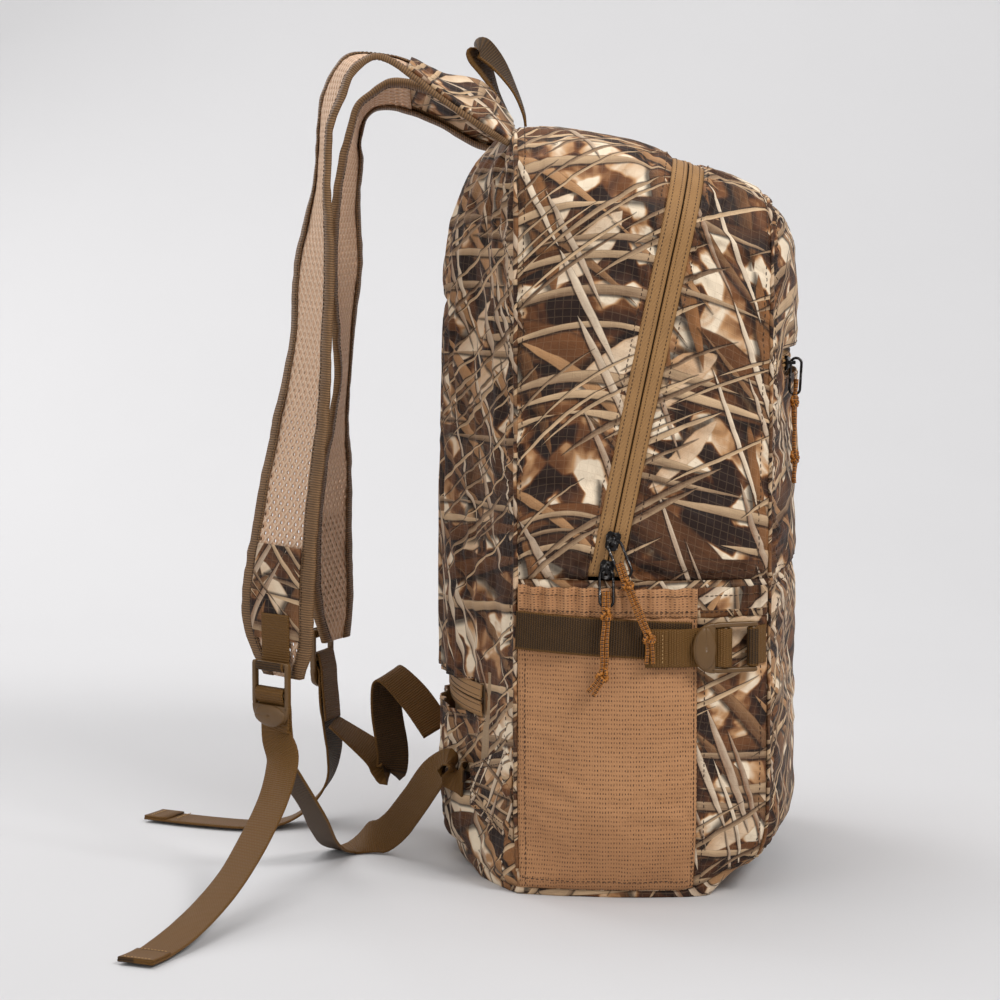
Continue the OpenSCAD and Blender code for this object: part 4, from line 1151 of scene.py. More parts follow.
def sewn_ridge(name, body, ts, y, lift, radius, seed, both=False):
    path, across, out = arch_frames(ts, np.full_like(ts, y), lift)
    piece = Piece()
    if both:
        path = sag(path)
    ridge(piece, path, across, out, radius, seed)
    if both:
        ridge(piece, path * [-1, 1, 1], across, out * [-1, 1, 1], radius, seed + 1)
    piece.make(name, body, [CAMO], "camo_fabric")


def band_stitches(piece, panel, zs, us, band, half_u):
    """Stitches above and below a pocket's zip."""
    ends = [i for i, u in enumerate(us) if abs(abs(u) - half_u) < 1e-6]
    for z, step in zip(band, (-1, 1)):
        i = int(np.argmin(np.abs(zs - z))) * FINER + step
        piece.stitches(*panel.row(i=i, part=slice(ends[0] * FINER - 1, ends[1] * FINER + 2)))


def stitch_rows(piece, rows):
    """Rows of stitches: the panel, i or j, its number and the pitch."""
    for panel, way, number, pitch in rows:
        piece.stitches(*panel.row(**{way: number}), pitch=pitch)


def seams():
    ts = refine(arch_ts(0.034, 60, 18, 20)[:, None], 2)[:, 0]
    sewn_ridge("back_seam_ridge", "pack", ts, SEAM_BACK, 0.3, 1.5, 3)
    sewn_ridge("front_seam_ridge", LID_FOLD, ts[(ts > ARCH_FOOT) & (ts < 5 - ARCH_FOOT)], SEAM_FRONT, 0.2, 1.3, 4)
    sewn_ridge("foot_seam_ridges", "pack", ts[ts < ARCH_FOOT], SEAM_FRONT, 0.2, 1.3, 5, both=True)
    thread = Piece()
    stitch_rows(thread, ((back, "j", 4, 4), (back, "j", -5, 4), (back, "i", -5, 4), (rear_gusset, "j", 3, 4),
                         (rear_gusset, "j", -3, 3.4), (front_lower, "j", 4, 4), (front_lower, "j", -5, 4),
                         (front_lower, "i", -3, 4)))
    band_stitches(thread, back, back_zs, back_us, BAND_STASH, U_STASH)
    thread.make("pack_stitches", "pack", [BROWN_THREAD], "zip_tape")
    lid = Piece()
    stitch_rows(lid, ((front_gusset, "j", 2, 3.4), (front_gusset, "j", -4, 4), (front_gusset, "i", 3, 4),
                      (front_gusset, "i", -4, 4), (front_upper, "j", 4, 4), (front_upper, "j", -5, 4),
                      (front_upper, "i", -4, 4), (front_upper, "i", 3, 4)))
    band_stitches(lid, front_upper, upper_zs, front_us, BAND_FRONT, U_FRONT)
    lid.make("lid_stitches", LID_FOLD, [BROWN_THREAD], "zip_tape")
    for mirror, name in SIDES:
        sewn = Piece()
        stitch_rows(sewn, [(pocket, "j", -2, 3.4), (strip, "j", 2, 3.4), (strip, "j", -3, 3.4), (pocket, "j", 2, 3.4),
                           (pocket, "i", 2, 3.4)])
        sewn.make("pocket_stitches_" + name, "pack", [BROWN_THREAD], "zip_tape", mirror=mirror)


seams()


# ---- Zips ----

def zip_half(piece, path, across, out, width):
    """One tape: its rolled edge and coil at the slit, then flat out to the panel."""
    # places across the tape from the slit, and the height at each
    d = np.array([0.35, 0.5, 1.1, 1.9, 2.6, 3.1, 4.5, 6.5, width - 2.6, width])
    o = np.array([-1.1, -0.1, 0.75, 0.75, 0.25, -0.05, 0.0, 0.0, -0.1, -0.7])
    p = path[:, None] + d[None, :, None] * across[:, None] + o[None, :, None] * out[:, None]
    if np.sum(normals(p)[len(p) // 2, 5] * out[len(out) // 2]) < 0:
        p = p[:, ::-1]
    piece.sheet(p, 0.7)
    piece.tube(path + 0.75 * across - 0.9 * out, 0.62, 1, 6)
    piece.stitches(path + 3.0 * across + 0.05 * out, out, 2.0, 0.62, 0.26, 0.05, 2)
    piece.stitches(path + (width - 3.4) * across + 0.05 * out, out, 2.6, 0.7, 0.24, 0.05, 2)


def main_path():
    ts = arch_ts(ARCH_FOOT + 0.006, 90, 26, 30)
    y = zip_y(arch_z(ts))
    path = gusset_pt(ts, y)
    across = unit(gusset_pt(ts, y + 1) - gusset_pt(ts, y - 1))
    out = unit(gusset_pt(ts, y, 1.0) - path)
    return path, across, out


def flat_path(f, half, z, sign):
    xs = np.linspace(-half, half, 90)
    path = f(xs, z)
    across = unit(f(xs, z + 1.0) - f(xs, z - 1.0))
    out = unit(np.cross(np.gradient(path, axis=0), across)) * sign
    return path, across, out


def zips():
    path, across, out = main_path()
    mats = [TAPE, COIL, BROWN_THREAD]
    for name, body, sign in (("rear", "pack", 1), ("front", LID_FOLD, -1)):
        piece = Piece()
        zip_half(piece, path, sign * across, out, TAPE_HALF)
        piece.make("main_zip_" + name, body, mats, "zip_tape", "main_zip_tape_" + name)
    for name, body, f, half, z, sign, wide in (("stash", "pack", back_at, 94, STASH_Z, -1, 10.8),
                                               ("front", LID_FOLD, front_at, 97, FRONT_ZIP_Z, 1, 8.8)):
        path, across, out = flat_path(f, half, z, sign)
        piece = Piece()
        for tape in (1, -1):
            zip_half(piece, path - 0.4 * out, tape * across, out, wide)
        piece.make(name + "_zip", body, mats, "zip_tape", name + "_zip_tape")


zips()


class Place:
    """A local frame: x, y and z axes at an origin, in millimetres."""

    def __init__(self, origin, ex, ey, ez):
        self.origin, self.axes = np.array(origin, float), np.array([ex, ey, ez], float)

    def to(self, p):
        return np.asarray(p, float) @ self.axes + self.origin

    def turn(self, v):
        return np.asarray(v, float) @ self.axes


def about_z(origin, degrees, upright=True):
    c, s = math.cos(math.radians(degrees)), math.sin(math.radians(degrees))
    if upright:
        return Place(origin, (c, s, 0), (-s, c, 0), (0, 0, 1))
    return Place(origin, (0, 0, -1), (-s, c, 0), (c, s, 0))


def prism(piece, outline, low, high, place, mat=0):
    """An outline in x and z, solid from y low to y high."""
    outline = np.asarray(outline, float)
    k = len(outline)
    local = np.concatenate([stack(outline[:, 0], y, outline[:, 1]) for y in (low, high)])
    i = np.arange(k)
    sides = np.stack([i, (i + 1) % k, (i + 1) % k + k, i + k], -1)
    faces = [sides[:, ::-1], i[None], i[None, ::-1] + k]
    piece.add(place.to(local), faces, np.zeros((sum(f.size for f in faces), 2)), mat)


def slider_shape(piece, place):
    """Shield-shaped top plate with rolled flanges, and the bridge that holds the ring."""
    half = [(0, -6.5), (2.6, -6.4), (3.4, -5.4), (3.5, -1.5), (4.2, 1.5), (4.7, 3.6), (4.2, 5.4), (2.6, 6.3),
            (0, 5.6)]
    outline = half + [(-x, z) for x, z in half[-2:0:-1]]
    prism(piece, outline, 0.3, 1.9, place)
    for x in (-1, 1):
        edge = [(x * 3.1, -5.6), (x * 4.0, -5.4), (x * 4.9, 3.6), (x * 4.0, 4.6)]
        prism(piece, edge if x > 0 else edge[::-1], -0.9, 0.9, place)
    arc = np.linspace(0, math.pi, 14)
    local = stack(0 * arc, 1.4 + 4.4 * np.sin(arc) ** 0.7, 0.2 - 3.7 * np.cos(arc))
    path = place.to(local)
    along = unit(np.gradient(path, axis=0))
    across = np.broadcast_to(place.turn((1, 0, 0)), path.shape)
    piece.sweep(path, across, np.cross(along, across), [(-1.1, -0.55), (1.1, -0.55), (1.1, 0.55), (-1.1, 0.55)])


def sliders():
    tilt = math.atan((ZIP_FOOT_Y - ZIP_HEAD_Y) / (float(top_z(ZIP_HEAD_Y)) - SPLIT_Z))
    c, s = math.cos(tilt), math.sin(tilt)
    places = {}
    for name, z in (("upper", 235), ("lower", 216.5)):
        spot = (-(SEAM_HALF + SIDE_BULGE + 0.2), ZIP_FOOT_Y - (z - SPLIT_Z) * math.tan(tilt), z)
        places[name] = Place(spot, (0, c, s), (-1, 0, 0), (0, -s, c))
    for name, f, x, z, base in (("front", front_at, -84, FRONT_ZIP_Z, 180),
                                ("stash", back_at, 62, STASH_Z, 0)):
        slope = f(x + 1, z) - f(x - 1, z)
        turn = base + math.degrees(math.atan2(slope[1], 2))
        places[name] = about_z(f(x, z, 0.3), turn, upright=False)
    for name, place in places.items():
        piece = Piece()
        slider_shape(piece, place)
        soften(piece.make("slider_body_" + name, "slider_" + name, [METAL], "zip_metal", "zip_slider_" + name), 0.35)
        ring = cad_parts["pull_ring_" + name]
        ring.data.materials.clear()
        ring.data.materials.append(METAL)
        smooth_faces(ring.data)


sliders()


# ---- Webbing ----

def web_profile(width, thick):
    half, t = width / 2, thick / 2
    top = [(-half, 0), (-half + 0.35, t), (-half + 1.4, t * 1.15), (-half / 2, t), (0, t), (half / 2, t),
           (half - 1.4, t * 1.15), (half - 0.35, t), (half, 0)]
    return np.array(top + [(x, -y) for x, y in top[-2:0:-1]])


def edge_frames(rows, per_row):
    rows = refine(np.asarray(rows, float), per_row)
    path, across = rows[:, :3], unit(rows[:, 3:6])
    along = unit(np.gradient(path, axis=0))
    across = unit(across - along * np.sum(across * along, -1, keepdims=True))
    return path, across, np.cross(across, along)


def ribbon(piece, rows, per_row, thick=1.6, hem=0.0):
    """Webbing along rows of middle and edge step. hem is the length doubled back and sewn at the end."""
    width = WEB_W
    path, across, out = edge_frames(rows, per_row)
    # it rests on the floor
    path[:, 2] += np.maximum(0, 1.2 + np.abs(across[:, 2]) * width / 2 - path[:, 2])
    s = travelled(path)
    profile = web_profile(width, thick) * np.ones((len(path), 1, 1))
    profile[..., 0] *= (1 + 0.012 * noise(s / 11, 0, 1))[:, None]
    piece.sweep(path, across, out, profile[:, ::-1])
    if hem:
        last = s > s[-1] - hem
        piece.sweep(path[last] + 1.5 * out[last], across[last], out[last], web_profile(width - 0.6, 1.5)[::-1])
        for back_off in (3.0, hem - 2.5):
            i = int(np.argmin(np.abs(s - (s[-1] - back_off))))
            f = np.linspace(-0.42, 0.42, 12)[:, None] * width
            piece.stitches(path[i] + f * across[i] + 2.3 * out[i], np.repeat(out[i][None], 12, 0), 2.4, mat=1)


# The way of the webbing through a lock and of the loop on its fixed bar, as y and z in the lock's own frame
PASS = [(-8, -66), (-7.8, -64), (-6.5, -48), (-5.4, -38), (-4.9, -28), (-3.6, -21), (-2.4, -16.2), (0, -15),
        (2.4, -16.2), (3.3, -19), (2, -22.5), (-2.3, -27.6), (-2.9, -34), (-3.1, -40), (-3.4, -48)]
BAR_LOOP = [(-2.9, -0.5), (-1.6, -2.6), (0, -3.1), (1.8, -2.4), (2.9, 0), (2.7, 2.6)]
SEWN_LOOP = [(-3.4, 34), (-3.6, 20), (-3.8, 8), (-3.3, 3.2)] + BAR_LOOP
ANCHOR_LOOP = [(-9.8, 12.5), (-6.3, 7.5), (-3.9, 3.2)] + BAR_LOOP
LOCKS = {"left": about_z((-100, 236, 146), 50), "right": about_z((94, 213.6, 139), -22)}
# Rows of webbing: the middle, and the step from there towards one edge
LOWER = {
    "left": [(-77, 110, 62, 0, 3, 12), (-70, 115, 67, 6, 4, 10), (-66, 121, 74, 11, 4, 4), (-58, 132, 62, 8, 6, 7),
             (-40, 145, 40, 7, 6, 8), (-20, 160, 18, 8, 7, 6), (-8, 180, 4, 9, 8, 1), (-15, 196, 3, 9, 9, 0),
             (-42, 205, 18, 9, 8, 1), (-74, 212, 44, 9, 8, 0)],
    "right": [(66, 130, 71, 7, -7, 7), (72, 145, 92, 7, -7, 7), (80, 163, 109, 9, -7, 5), (86, 168, 103, 8, -9, 2),
              (87, 167, 80, 6, -11, 1), (88, 163, 52, 5, -11.5, 1), (88, 164, 37, 5, -11.5, 1),
              (88, 168, 40, 6, -11, 1), (89, 176, 50, 8, -9.6, 1)]}
TAIL = {
    "left": [(-106, 229, 86, 7, 10.4, -1), (-118, 230, 74, 6, 11, -2), (-133, 234, 61, 6, 11, -2),
             (-155, 241, 47, 5, 11.3, -2), (-190, 252, 30, 5, 11.3, -2), (-225, 265, 17, 4.8, 11.5, -1),
             (-265, 280, 8, 4.6, 11.6, 0), (-295, 294, 3, 4.6, 11.6, 0), (-315, 303, 3, 4.6, 11.6, 0)],
    "right": [(97, 209, 80, 11, -5, 1), (98, 207, 66, 11, -5, 3), (96, 206, 50, 11, -4, 4), (88, 210, 30, 12, -2, 2),
              (80, 222, 14, 12.2, -2, 1), (72, 238, 5, 12.2, -3, 0), (64, 262, 3, 12.1, -3.4, 0),
              (76, 300, 3, 12, 3, 0), (95, 337, 3, 11, 5.5, 0)]}
HAUL = [(0, 75.5, 501.5, 12.5, 0, 0), (0, 80.5, 511, 12.4, -0.5, 0.5), (0, 87.5, 525, 12.3, -1.2, 1.2),
        (0, 95, 540, 11.4, -3.5, 4), (0, 100.5, 549.5, 10.4, -4.4, 6), (0, 101.5, 554.5, 10.2, -4.5, 6),
        (0, 96.5, 554.5, 10.2, -4.5, 6), (0, 85.5, 543, 11.4, -3, 4), (0, 75, 526, 12.3, -1.2, 1.2),
        (0, 69, 511, 12.4, -0.5, 0.5), (0, 67.5, 501.5, 12.5, 0, 0)]
WEB = [WEBBING, GOLD_THREAD]


def local_rows(place, points):
    e = place.turn((WEB_W / 2, 0, 0))
    return [tuple(place.to((0, y, z))) + tuple(e) for y, z in points]


def below_lock(place, length):
    return tuple(place.to((0, 0, -length)) * MM)


def web(name, body, replaced, rows, per_row, mirror=False, **how):
    piece = Piece()
    ribbon(piece, rows, per_row, **how)
    piece.make(name, body, WEB, "webbing", replaced, mirror)


def shoulder_webbing():
    for name, place in LOCKS.items():
        strap, lock = "strap_" + name, "buckle_" + name
        start, end = tuple(np.array(LOWER[name][0][:3]) * MM), tuple(place.to((0, *PASS[0])) * MM)
        web("lower_web_" + name, ("pack", strap, start, end), "lower_webbing_" + name,
            LOWER[name] + local_rows(place, PASS[:1]), 7)
        web("adjuster_web_" + name, (strap, lock, below_lock(place, 60), below_lock(place, 24)),
            "adjuster_webbing_" + name, local_rows(place, PASS[1:]) + TAIL[name], 6, hem=26)
        web("strap_tab_web_" + name, strap, "strap_tab_" + name, local_rows(place, SEWN_LOOP), 5, thick=1.2)
    web("haul_loop_web", "haul_loop", "haul_loop", HAUL, 7)


shoulder_webbing()

COMP_SIN, COMP_COS = math.sin(math.radians(16)), math.cos(math.radians(16))
COMP_LOCK = Place((-150, -78, 176 - 0.045 * 153 - 2), (0, 0, 1), (-COMP_COS, -COMP_SIN, 0),
                  (COMP_SIN, -COMP_COS, 0))


def comp_webbing(mirror, name):
    ys = np.linspace(SEAM_BACK - 0.5, -38, 60)
    rows = [tuple(comp_pt(y, 0, 4.0)) + tuple(comp_pt(y, 1, 4.0) - comp_pt(y, 0, 4.0)) for y in ys]
    web("comp_strap_web_" + name, "pack", "comp_strap_" + name, rows, 1, mirror)
    web("comp_anchor_web_" + name, "pack", "comp_anchor_" + name, local_rows(COMP_LOCK, ANCHOR_LOOP), 5, mirror,
        thick=1.2)
    start, end = (tuple(np.array(below_lock(COMP_LOCK, d)) * ([-1, 1, 1] if mirror else [1, 1, 1]))
                  for d in (62, 24))
    web("comp_tail_web_" + name, ("pack", "comp_buckle_" + name, start, end), "comp_tail_" + name,
        local_rows(COMP_LOCK, PASS[3:] + [(-5.2, -54), (-7.4, -62), (-9.3, -70)]), 6, mirror, hem=14)


# ---- Ladder locks ----

def bar(piece, place, z, half, radius, squash=1.0):
    turn = circle(14)
    profile = np.stack([radius * squash * np.cos(turn), radius * np.sin(turn)], -1)
    path = place.to(stack(np.linspace(-half, half, 5), 0, z))
    piece.sweep(path, np.broadcast_to(place.turn((0, 0, 1)), path.shape),
                np.broadcast_to(place.turn((0, -1, 0)), path.shape), profile)


def ladder_lock(name, body, place, node, mirror=False):
    """Two rails, a bar for the fixed loop, a bar for the running webbing, and a domed tongue to lift."""
    piece = Piece()
    w, inner = 16.4, 13.2
    for x in (-1, 1):
        rail = [(x * inner, 2.8), (x * (w - 0.6), 2.8), (x * w, 0.5), (x * w, -24), (x * (w - 0.9), -29.5),
                (x * inner, -29.5)]
        prism(piece, rail if x > 0 else rail[::-1], -1.6, 2.5, place)
    arc = np.radians(np.linspace(0, 180, 25))
    tongue = [(w * math.cos(a) * (1 - 0.03 * math.sin(a)), -26 - 15 * math.sin(a) ** 0.8) for a in arc]
    prism(piece, tongue[::-1], -1.0, 2.5, place)
    soften(piece.make("lock_frame_" + name, body, [PLASTIC], "buckle_plastic", node, mirror), 0.9)
    piece = Piece()
    bar(piece, place, 0.2, inner + 1, 1.9, 1.25)
    bar(piece, place, -19, inner + 1, 1.8)
    turn, fall = np.meshgrid(np.linspace(0, 2 * math.pi, 33), np.linspace(0, math.pi / 2, 9), indexing="xy")
    dome_p = stack(13.5 * np.cos(turn) * np.cos(fall), 2.2 + 1.7 * np.sin(fall),
                   -33 + 6.6 * np.sin(turn) * np.cos(fall))
    piece.sheet(place.to(dome_p), 0.6)
    piece.make("lock_bars_" + name, body, [PLASTIC], "buckle_plastic", mirror=mirror)


for side_name, lock_place in LOCKS.items():
    ladder_lock("shoulder_" + side_name, "buckle_" + side_name, lock_place, "shoulder_lock_" + side_name)
for mirrored, side_name in SIDES:
    comp_webbing(mirrored, side_name)
    ladder_lock("comp_" + side_name, "comp_buckle_" + side_name, COMP_LOCK, "comp_lock_" + side_name, mirrored)


# ---- Pocket hems: elastic in a folded band, gathered ----

def hem(mirror, name):
    for label, ys, mat, slot_name, seed in (
            ("mesh", lines(SEAM_BACK - 1.5, POCKET_SPLIT_Y, 1.2), POCKET, "pocket_mesh", 5),
            ("print", lines(POCKET_SPLIT_Y, SEAM_FRONT + 1.5, 1.2), CAMO, "camo_fabric", 6)):
        turn = circle(22)
        middle = (HEM_Z[0] + HEM_Z[1]) / 2
        half = (HEM_Z[1] - HEM_Z[0]) / 2 + 1.2
        path = side_pt(ys, np.full_like(ys, middle))
        out = stack(-1 + 0 * ys, 0 * ys, 0 * ys)
        up = stack(0 * ys, 0 * ys, 1 + 0 * ys)
        gap = pocket_gap(ys, middle)
        wave = 2.3 * np.sin(2 * math.pi * (ys / 12.5 + 0.8 * noise(ys / 23, 0, seed)))
        wave = wave * (1 + 0.5 * noise(ys / 17, 4, seed))
        wave = wave * smooth((SEAM_BACK - ys) / 8) * smooth((ys - SEAM_FRONT) / 8)
        high = np.sign(np.sin(turn)) * np.abs(np.sin(turn)) ** 0.6
        profile = np.zeros((len(ys), len(turn), 2))
        lift = 0.5 + 0.5 * high[None]
        profile[..., 0] = half * high[None] * (1 + 0.06 * noise(ys / 9, 7, seed))[:, None]
        profile[..., 1] = 1.5 * np.cos(turn)[None] + 2.4 + gap[:, None] + wave[:, None] * (0.25 + 0.75 * lift)
        piece = Piece()
        piece.sweep(path, up, out, profile[:, ::-1])
        for level in (-5.8, 4.6):
            o = gap + 4.05 + wave * (0.25 + 0.75 * (0.5 + 0.5 * level / half))
            row = path + up * level + out * o[:, None]
            piece.stitches(row, out, 3.4, mat=1)
        piece.make(f"pocket_hem_{label}_{name}", "pack", [mat, BROWN_THREAD], slot_name, "pocket_hem_" + name, mirror)


for mirrored, side_name in SIDES:
    hem(mirrored, side_name)


# ---- Shoulder straps ----

# Rows of a strap: the middle, the step to its outer edge in y and z, and its half width
STRAPS = {
    "left": [(-70, 78.5, 496, 0, -7, 29), (-72, 98, 514.5, 0, -13, 30), (-74, 124, 526.5, 0, -6.4, 31),
             (-76, 147, 541, 0, -3, 31), (-77, 164, 547, -1, -1, 31), (-78, 179.5, 545, -5.6, -3.2, 31),
             (-79, 189, 535.5, -7, -1.5, 31), (-80, 195.5, 520, -8, 0, 31), (-81, 200, 500, -5.5, 0, 31),
             (-82, 202, 466, -5.5, 0, 31), (-83, 204.5, 440, -9, 0, 31), (-85, 208, 405, -13.5, 0, 32),
             (-87, 210, 360, -14, 0, 32), (-89, 215.5, 315, -17.5, 0, 32), (-91, 223, 270, -20, 0, 32.5),
             (-93, 229, 225, -22, 0, 33), (-94, 232.4, 188, -24, 0, 32), (-95, 231.5, 163, -22, 0, 29),
             (-96, 228.5, 138, -13, 0, 18)],
    "right": [(70, 79, 493.5, 0, -8, 29), (72, 100, 501, 0, -13, 30), (74, 128, 515, 0, -11, 31),
              (76, 150, 523, 0, -10, 31), (77, 164, 524.5, 1, -8.5, 31), (78, 175, 520, 1, -6, 31),
              (79, 184, 511, -1, -5, 31),
              (80, 189, 494, -2, -4, 31), (81, 191, 477, -5.5, -1.5, 31), (82, 194.5, 445, -7, 0, 31),
              (84, 195, 405, -9, 0, 32), (86, 196.7, 365, -5.5, 0, 32), (88, 197.5, 325, -3, 0, 32),
              (90, 201.5, 288, -4.5, 0, 32), (92, 204, 255, -9, 0, 32.5), (93, 206, 225, -11, 0, 33),
              (94, 206.8, 185, -12, 0, 32), (95, 205.5, 155, -11.5, 0, 29), (96, 204, 132, -8, 0, 18)]}
STRAP_T = 2.4
CELL = (3.6, 4.15)    # one step of the holes' chequer, across and along
HOLE_R = 1.45
HOLES_END = 0.965     # share of the strap's length where the holes stop


def strap_pt(rows, t, a, o):
    """A point on a strap: t along its rows, a across it (1 is the outer edge), o out from its middle layer."""
    t = np.asarray(t, float)
    rows = np.array(rows, float)
    last = len(rows) - 1
    at = lambda v: row_at(rows, np.clip(v, 0, last))
    r = at(t)
    sign = np.sign(rows[0][0])
    ey, ez = r[..., 3], r[..., 4]
    e = np.stack([sign * np.sqrt(np.maximum(1, r[..., 5] ** 2 - ey ** 2 - ez ** 2)), ey, ez], -1)
    along = (at(t + 0.05) - at(t - 0.05))[..., :3]
    n = sign * unit(np.cross(e, along))
    return r[..., :3] + np.asarray(a)[..., None] * e + np.asarray(o)[..., None] * n


def strap_run(rows, t0, t1):
    """Values of t an even distance apart, and the distance at each."""
    t = np.linspace(t0, t1, 800)
    p = strap_pt(rows, t, 0 * t, 0 * t)
    return t, travelled(p)


def ripple(s, a, seed):
    return 0.55 * noise(s / 19, a * 1.2, seed) + 0.25 * noise(s / 7, a * 2, seed + 1)


def strap_net(name, rows, sign):
    """Spacer mesh with real holes: a chequer of plain cells and cells with an eight-sided hole."""
    t, s = strap_run(rows, 2.9, len(rows) - 1)
    n = int(s[-1] / CELL[1])
    m = 17
    i, j = np.meshgrid(np.arange(n + 1), np.arange(m + 1), indexing="ij")
    ci, cj = np.meshgrid(np.arange(n), np.arange(m), indexing="ij")
    ci, cj = ci.reshape(-1), cj.reshape(-1)
    holed = ((ci + cj) % 2 == 0) & (cj > 0) & (cj < m - 1) & (ci > 0) & (ci < n * HOLES_END)
    hi, hj = ci[holed], cj[holed]
    turn = np.radians(22.5 + 45 * np.arange(8))
    hole_u = hj[:, None] + 0.5 + HOLE_R / CELL[0] * np.cos(turn)
    hole_v = hi[:, None] + 0.5 + HOLE_R / CELL[1] * np.sin(turn)
    u = np.concatenate([j.reshape(-1), hole_u.reshape(-1)]) / m * 2 - 1
    v = np.concatenate([i.reshape(-1), hole_v.reshape(-1)]) / n * s[-1]
    tt = np.interp(v, s, t)
    wavy = ripple(v, u, 15)
    place = lambda o: strap_pt(rows, tt, -sign * u * 0.98, o + wavy)
    corner = lambda a, b: (ci + a) * (m + 1) + cj + b
    quad = np.stack([corner(0, 0), corner(0, 1), corner(1, 1), corner(1, 0)], -1)
    base = (n + 1) * (m + 1) + 8 * np.arange(len(hi))[:, None]
    q = quad[holed]                       # corners: low left, low right, high right, high left
    facing = (4, 6, 0, 2)                 # the hole's corner that faces each cell corner
    tris, sides = [], []
    for k in range(4):
        here, after = base[:, 0] + facing[k], base[:, 0] + facing[k] + 1
        tris.append(np.stack([q[:, k], after, here], -1))
        nxt = (k + 1) % 4
        sides.append(np.stack([q[:, k], q[:, nxt], base[:, 0] + facing[nxt], after], -1))
    faces = [quad[~holed], np.concatenate(sides), np.concatenate(tris)]
    out = unit(place(1.0) - place(0.0))
    uv = np.stack([(u + 1) / 2 * m * CELL[0], v], -1)
    piece = Piece()
    piece.cloth(place(0.7), faces, uv, 1.4, out)
    piece.make("strap_net_" + name, "strap_" + name, [SPACER], "spacer_mesh", "strap_mesh_" + name)


def strap_binding(name, rows, sign):
    t, s = strap_run(rows, 0.05, len(rows) - 1)
    n = int(s[-1] / 2.2)
    v = np.linspace(0, s[-1], n)
    tt = np.interp(v, s, t)
    piece = Piece()
    for edge in (-1, 1):
        w = row_at(np.array(rows, float), tt)[:, 5]
        wavy = (1.0 * noise(v / 9, edge * 3, 41) + 0.5 * noise(v / 4, edge * 5, 42)) / w
        turn = 9.5 / w
        face, skin = STRAP_T / 2 + 0.15, STRAP_T / 2 + 0.85
        shape = [(1 - turn, face), (1 - turn, skin), (1 - turn * 0.5, skin + 0.15), (1.0, skin),
                 (1.035 + wavy, skin * 0.6), (1.045 + wavy, 0), (1.035 + wavy, -skin * 0.6),
                 (1.0, -skin), (1 - turn * 0.5, -skin - 0.15), (1 - turn, -skin), (1 - turn, -face), (1.0, -face), (1.0, face)]
        puff = 0.2 * noise(v / 5, edge * 7, 43)
        wander = ripple(v, edge, 15)
        swell = [puff * np.sign(o) if abs(o) > face else 0 for _, o in shape]
        ring = np.stack([strap_pt(rows, tt, edge * (a + 0 * v), o + up + wander)
                         for (a, o), up in zip(shape, swell)], 1)
        if edge * sign > 0:
            ring = ring[:, ::-1]
        k = ring.shape[1]
        faces, uvs = hose_faces(n, k, np.arange(k + 1) * 2.0, v)
        ends = [np.arange(k)[None, ::-1], (n - 1) * k + np.arange(k)[None]]
        piece.add(ring, [faces] + ends, np.concatenate([uvs * MM, np.zeros((2 * k, 2))]))
        sewn_at = edge * (1 - turn * 0.82)
        for o in (-1, 1):
            row = strap_pt(rows, tt, sewn_at, o * (skin + 0.05) + wander)
            up = unit(strap_pt(rows, tt, sewn_at, o * 9.0 + 0 * v) - strap_pt(rows, tt, sewn_at, 0 * v))
            piece.stitches(row, up, 2.8, 0.7, 0.28, 0.1, 1)
    piece.make("strap_edging_" + name, "strap_" + name, [BINDING, BROWN_THREAD], "binding", "strap_binding_" + name)


def strap_cloths(name, rows, sign):
    """The printed top of a strap and the printed patch under its buckle."""
    piece = Piece()
    for t0, t1, reach, low, high, seed in ((0.06, 2.95, 0.97, -1.5, 1.5, 51),
                                           (15, 17, 0.7, STRAP_T / 2 + 0.1, STRAP_T / 2 + 0.9, 52)):
        t, s = strap_run(rows, t0, t1)
        v = np.linspace(0, s[-1], int(s[-1] / 1.6))
        tt = np.interp(v, s, t)
        a = np.linspace(-reach, reach, 32)
        tg, ag = np.meshgrid(tt, -sign * a, indexing="ij")
        vg = np.broadcast_to(v[:, None], tg.shape)
        folds = 1.1 * noise(ag * 5 + 0.4 * noise(vg / 20, ag, seed), vg / 60, seed)
        folds = folds + 0.5 * noise(vg / 8, ag * 4, seed + 1)
        folds = folds * smooth((reach - np.abs(ag)) / 0.2) * (1.0 if t0 < 1 else 0.5)
        p = strap_pt(rows, tg, ag, high + folds + ripple(vg, ag, 15))
        uv = np.stack([ag * 31 + 90 * seed, vg + 40 * seed], -1)
        piece.sheet(p, high - low, uv, inner=0)
        if t0 > 1:
            for k in (1, -2):
                piece.stitches(p[k], normals(p)[k], 3, mat=1)
            piece.stitches(p[:, 1], normals(p)[:, 1], 3, mat=1)
            piece.stitches(p[:, -2], normals(p)[:, -2], 3, mat=1)
    piece.make("strap_print_" + name, "strap_" + name, [CAMO, BROWN_THREAD], "camo_fabric", "strap_patches_" + name)


for side_name, strap_rows in STRAPS.items():
    outer = -1 if side_name == "left" else 1
    strap_net(side_name, strap_rows, outer)
    strap_binding(side_name, strap_rows, outer)
    strap_cloths(side_name, strap_rows, outer)


# ---- Strap wings on the back seam ----

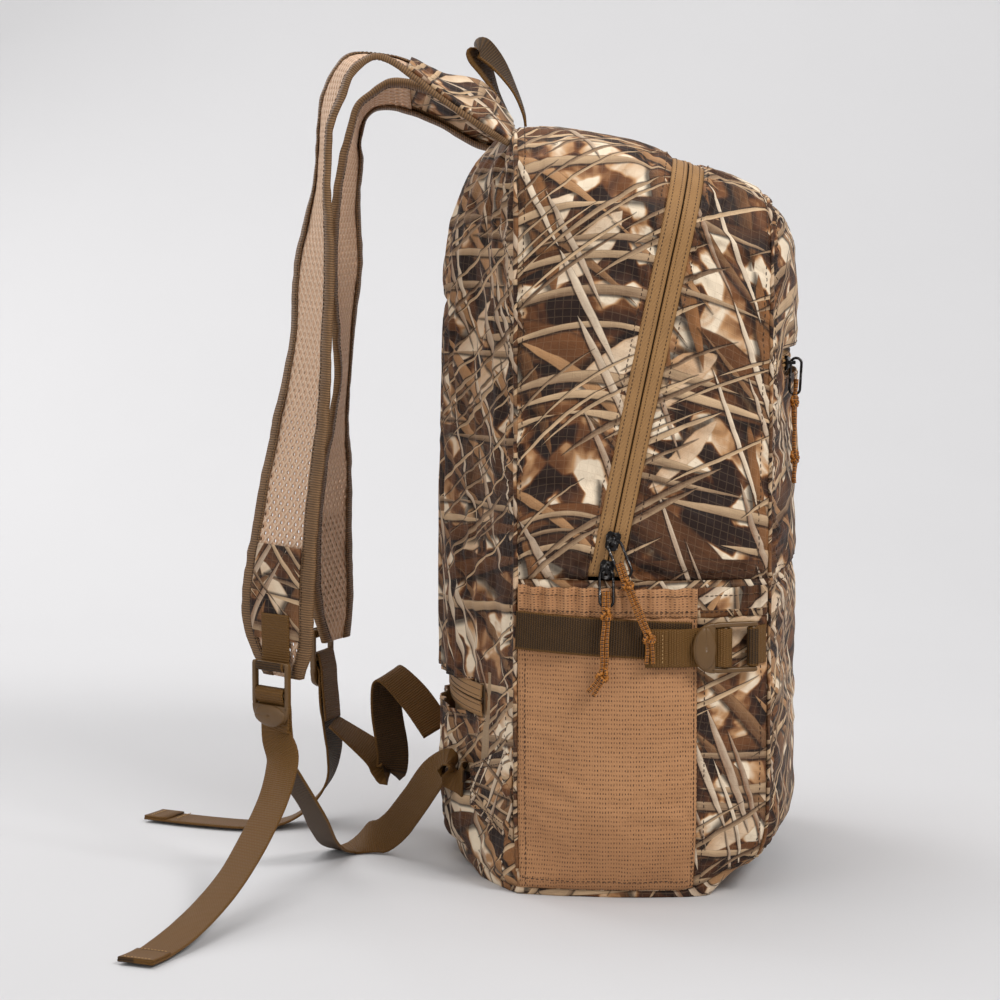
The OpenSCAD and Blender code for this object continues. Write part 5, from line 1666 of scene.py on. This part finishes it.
def wing(name, tip, lift, mirror):
    rows, cols = np.linspace(0, 1, 40), np.linspace(0, 1, 34)
    f, g = np.meshgrid(rows, cols, indexing="ij")
    z = lerp(lerp(34, 98, g), tip[2] + lerp(-1, 1, g) * 13, f)
    x = lerp(-133, tip[0], f)
    base = back_at(x, z)[..., 1]
    y = np.maximum(base, lerp(base, tip[1], f ** 2 * lift)) + 2.2
    folds = 0.7 * noise(f * 5, g * 3, 61) * smooth(f * 6)
    p = stack(x, y + folds, z)
    if normals(p)[20, 16, 1] < 0:
        p = p[:, ::-1]
    out = normals(p)
    piece = Piece().sheet(p, 1.4, np.stack([f * 60 + 800, g * 60 + 200], -1))
    for k in (2, 5, -3, -6):
        piece.stitches(p[:, k], out[:, k], 3.2, mat=1)
    for k in (-2, -8):
        piece.stitches(p[k], out[k], 3.0, mat=1)
    piece.make("wing_cloth_" + name, "pack", [CAMO, BROWN_THREAD], "camo_fabric", "wing_" + name, mirror)


wing("left", (-82, 108, 62), 0, False)
wing("right", (-72, 124, 66), 1, True)


# ---- Inside: bound seam and the two hanging pocket bags ----

def inside():
    ts = refine(arch_ts(0.06, 40, 12, 12)[:, None], 2)[:, 0]
    y = np.full_like(ts, SEAM_BACK - 5.4)
    path = gusset_pt(ts, y, -6)
    across = unit(gusset_pt(ts, y, 1.0) - gusset_pt(ts, y, 0.0))
    out = stack(0 * ts, 1 + 0 * ts, 0 * ts)
    s = travelled(path)
    path = path + 0.5 * noise(s / 9, 0, 71)[:, None] * out
    piece = Piece()
    piece.sweep(path, across, out, [(-3, -0.6), (3, -0.6), (3.1, 0), (3, 0.6), (-3, 0.6), (-3.2, 0)])
    piece.make("seam_tape_inside", "pack", [BINDING], "binding", "seam_binding_back")
    for name, f, low, high, node, body, sign in (
            ("stash_bag", back_at, 20, STASH_Z + 20, "stash_pocket_bag", "pack", 1),
            ("front_bag", front_at, SPLIT_Z + 12, FRONT_ZIP_Z + 16, "front_pocket_bag", LID_FOLD, -1)):
        piece = Piece()
        for depth, seed in ((3.7, 81), (9.5, 83)):
            xs = lines(-100, 100, 4) * sign
            z, x = np.meshgrid(lines(low, high, 4), xs, indexing="ij")
            p = f(x, z, -depth - 0.6 * noise(x / 24, z / 30, seed))
            if sign > 0:
                p = p[:, ::-1]
            piece.sheet(p, 0.8)
        piece.make(name, body, [LINING], "lining", node)


inside()
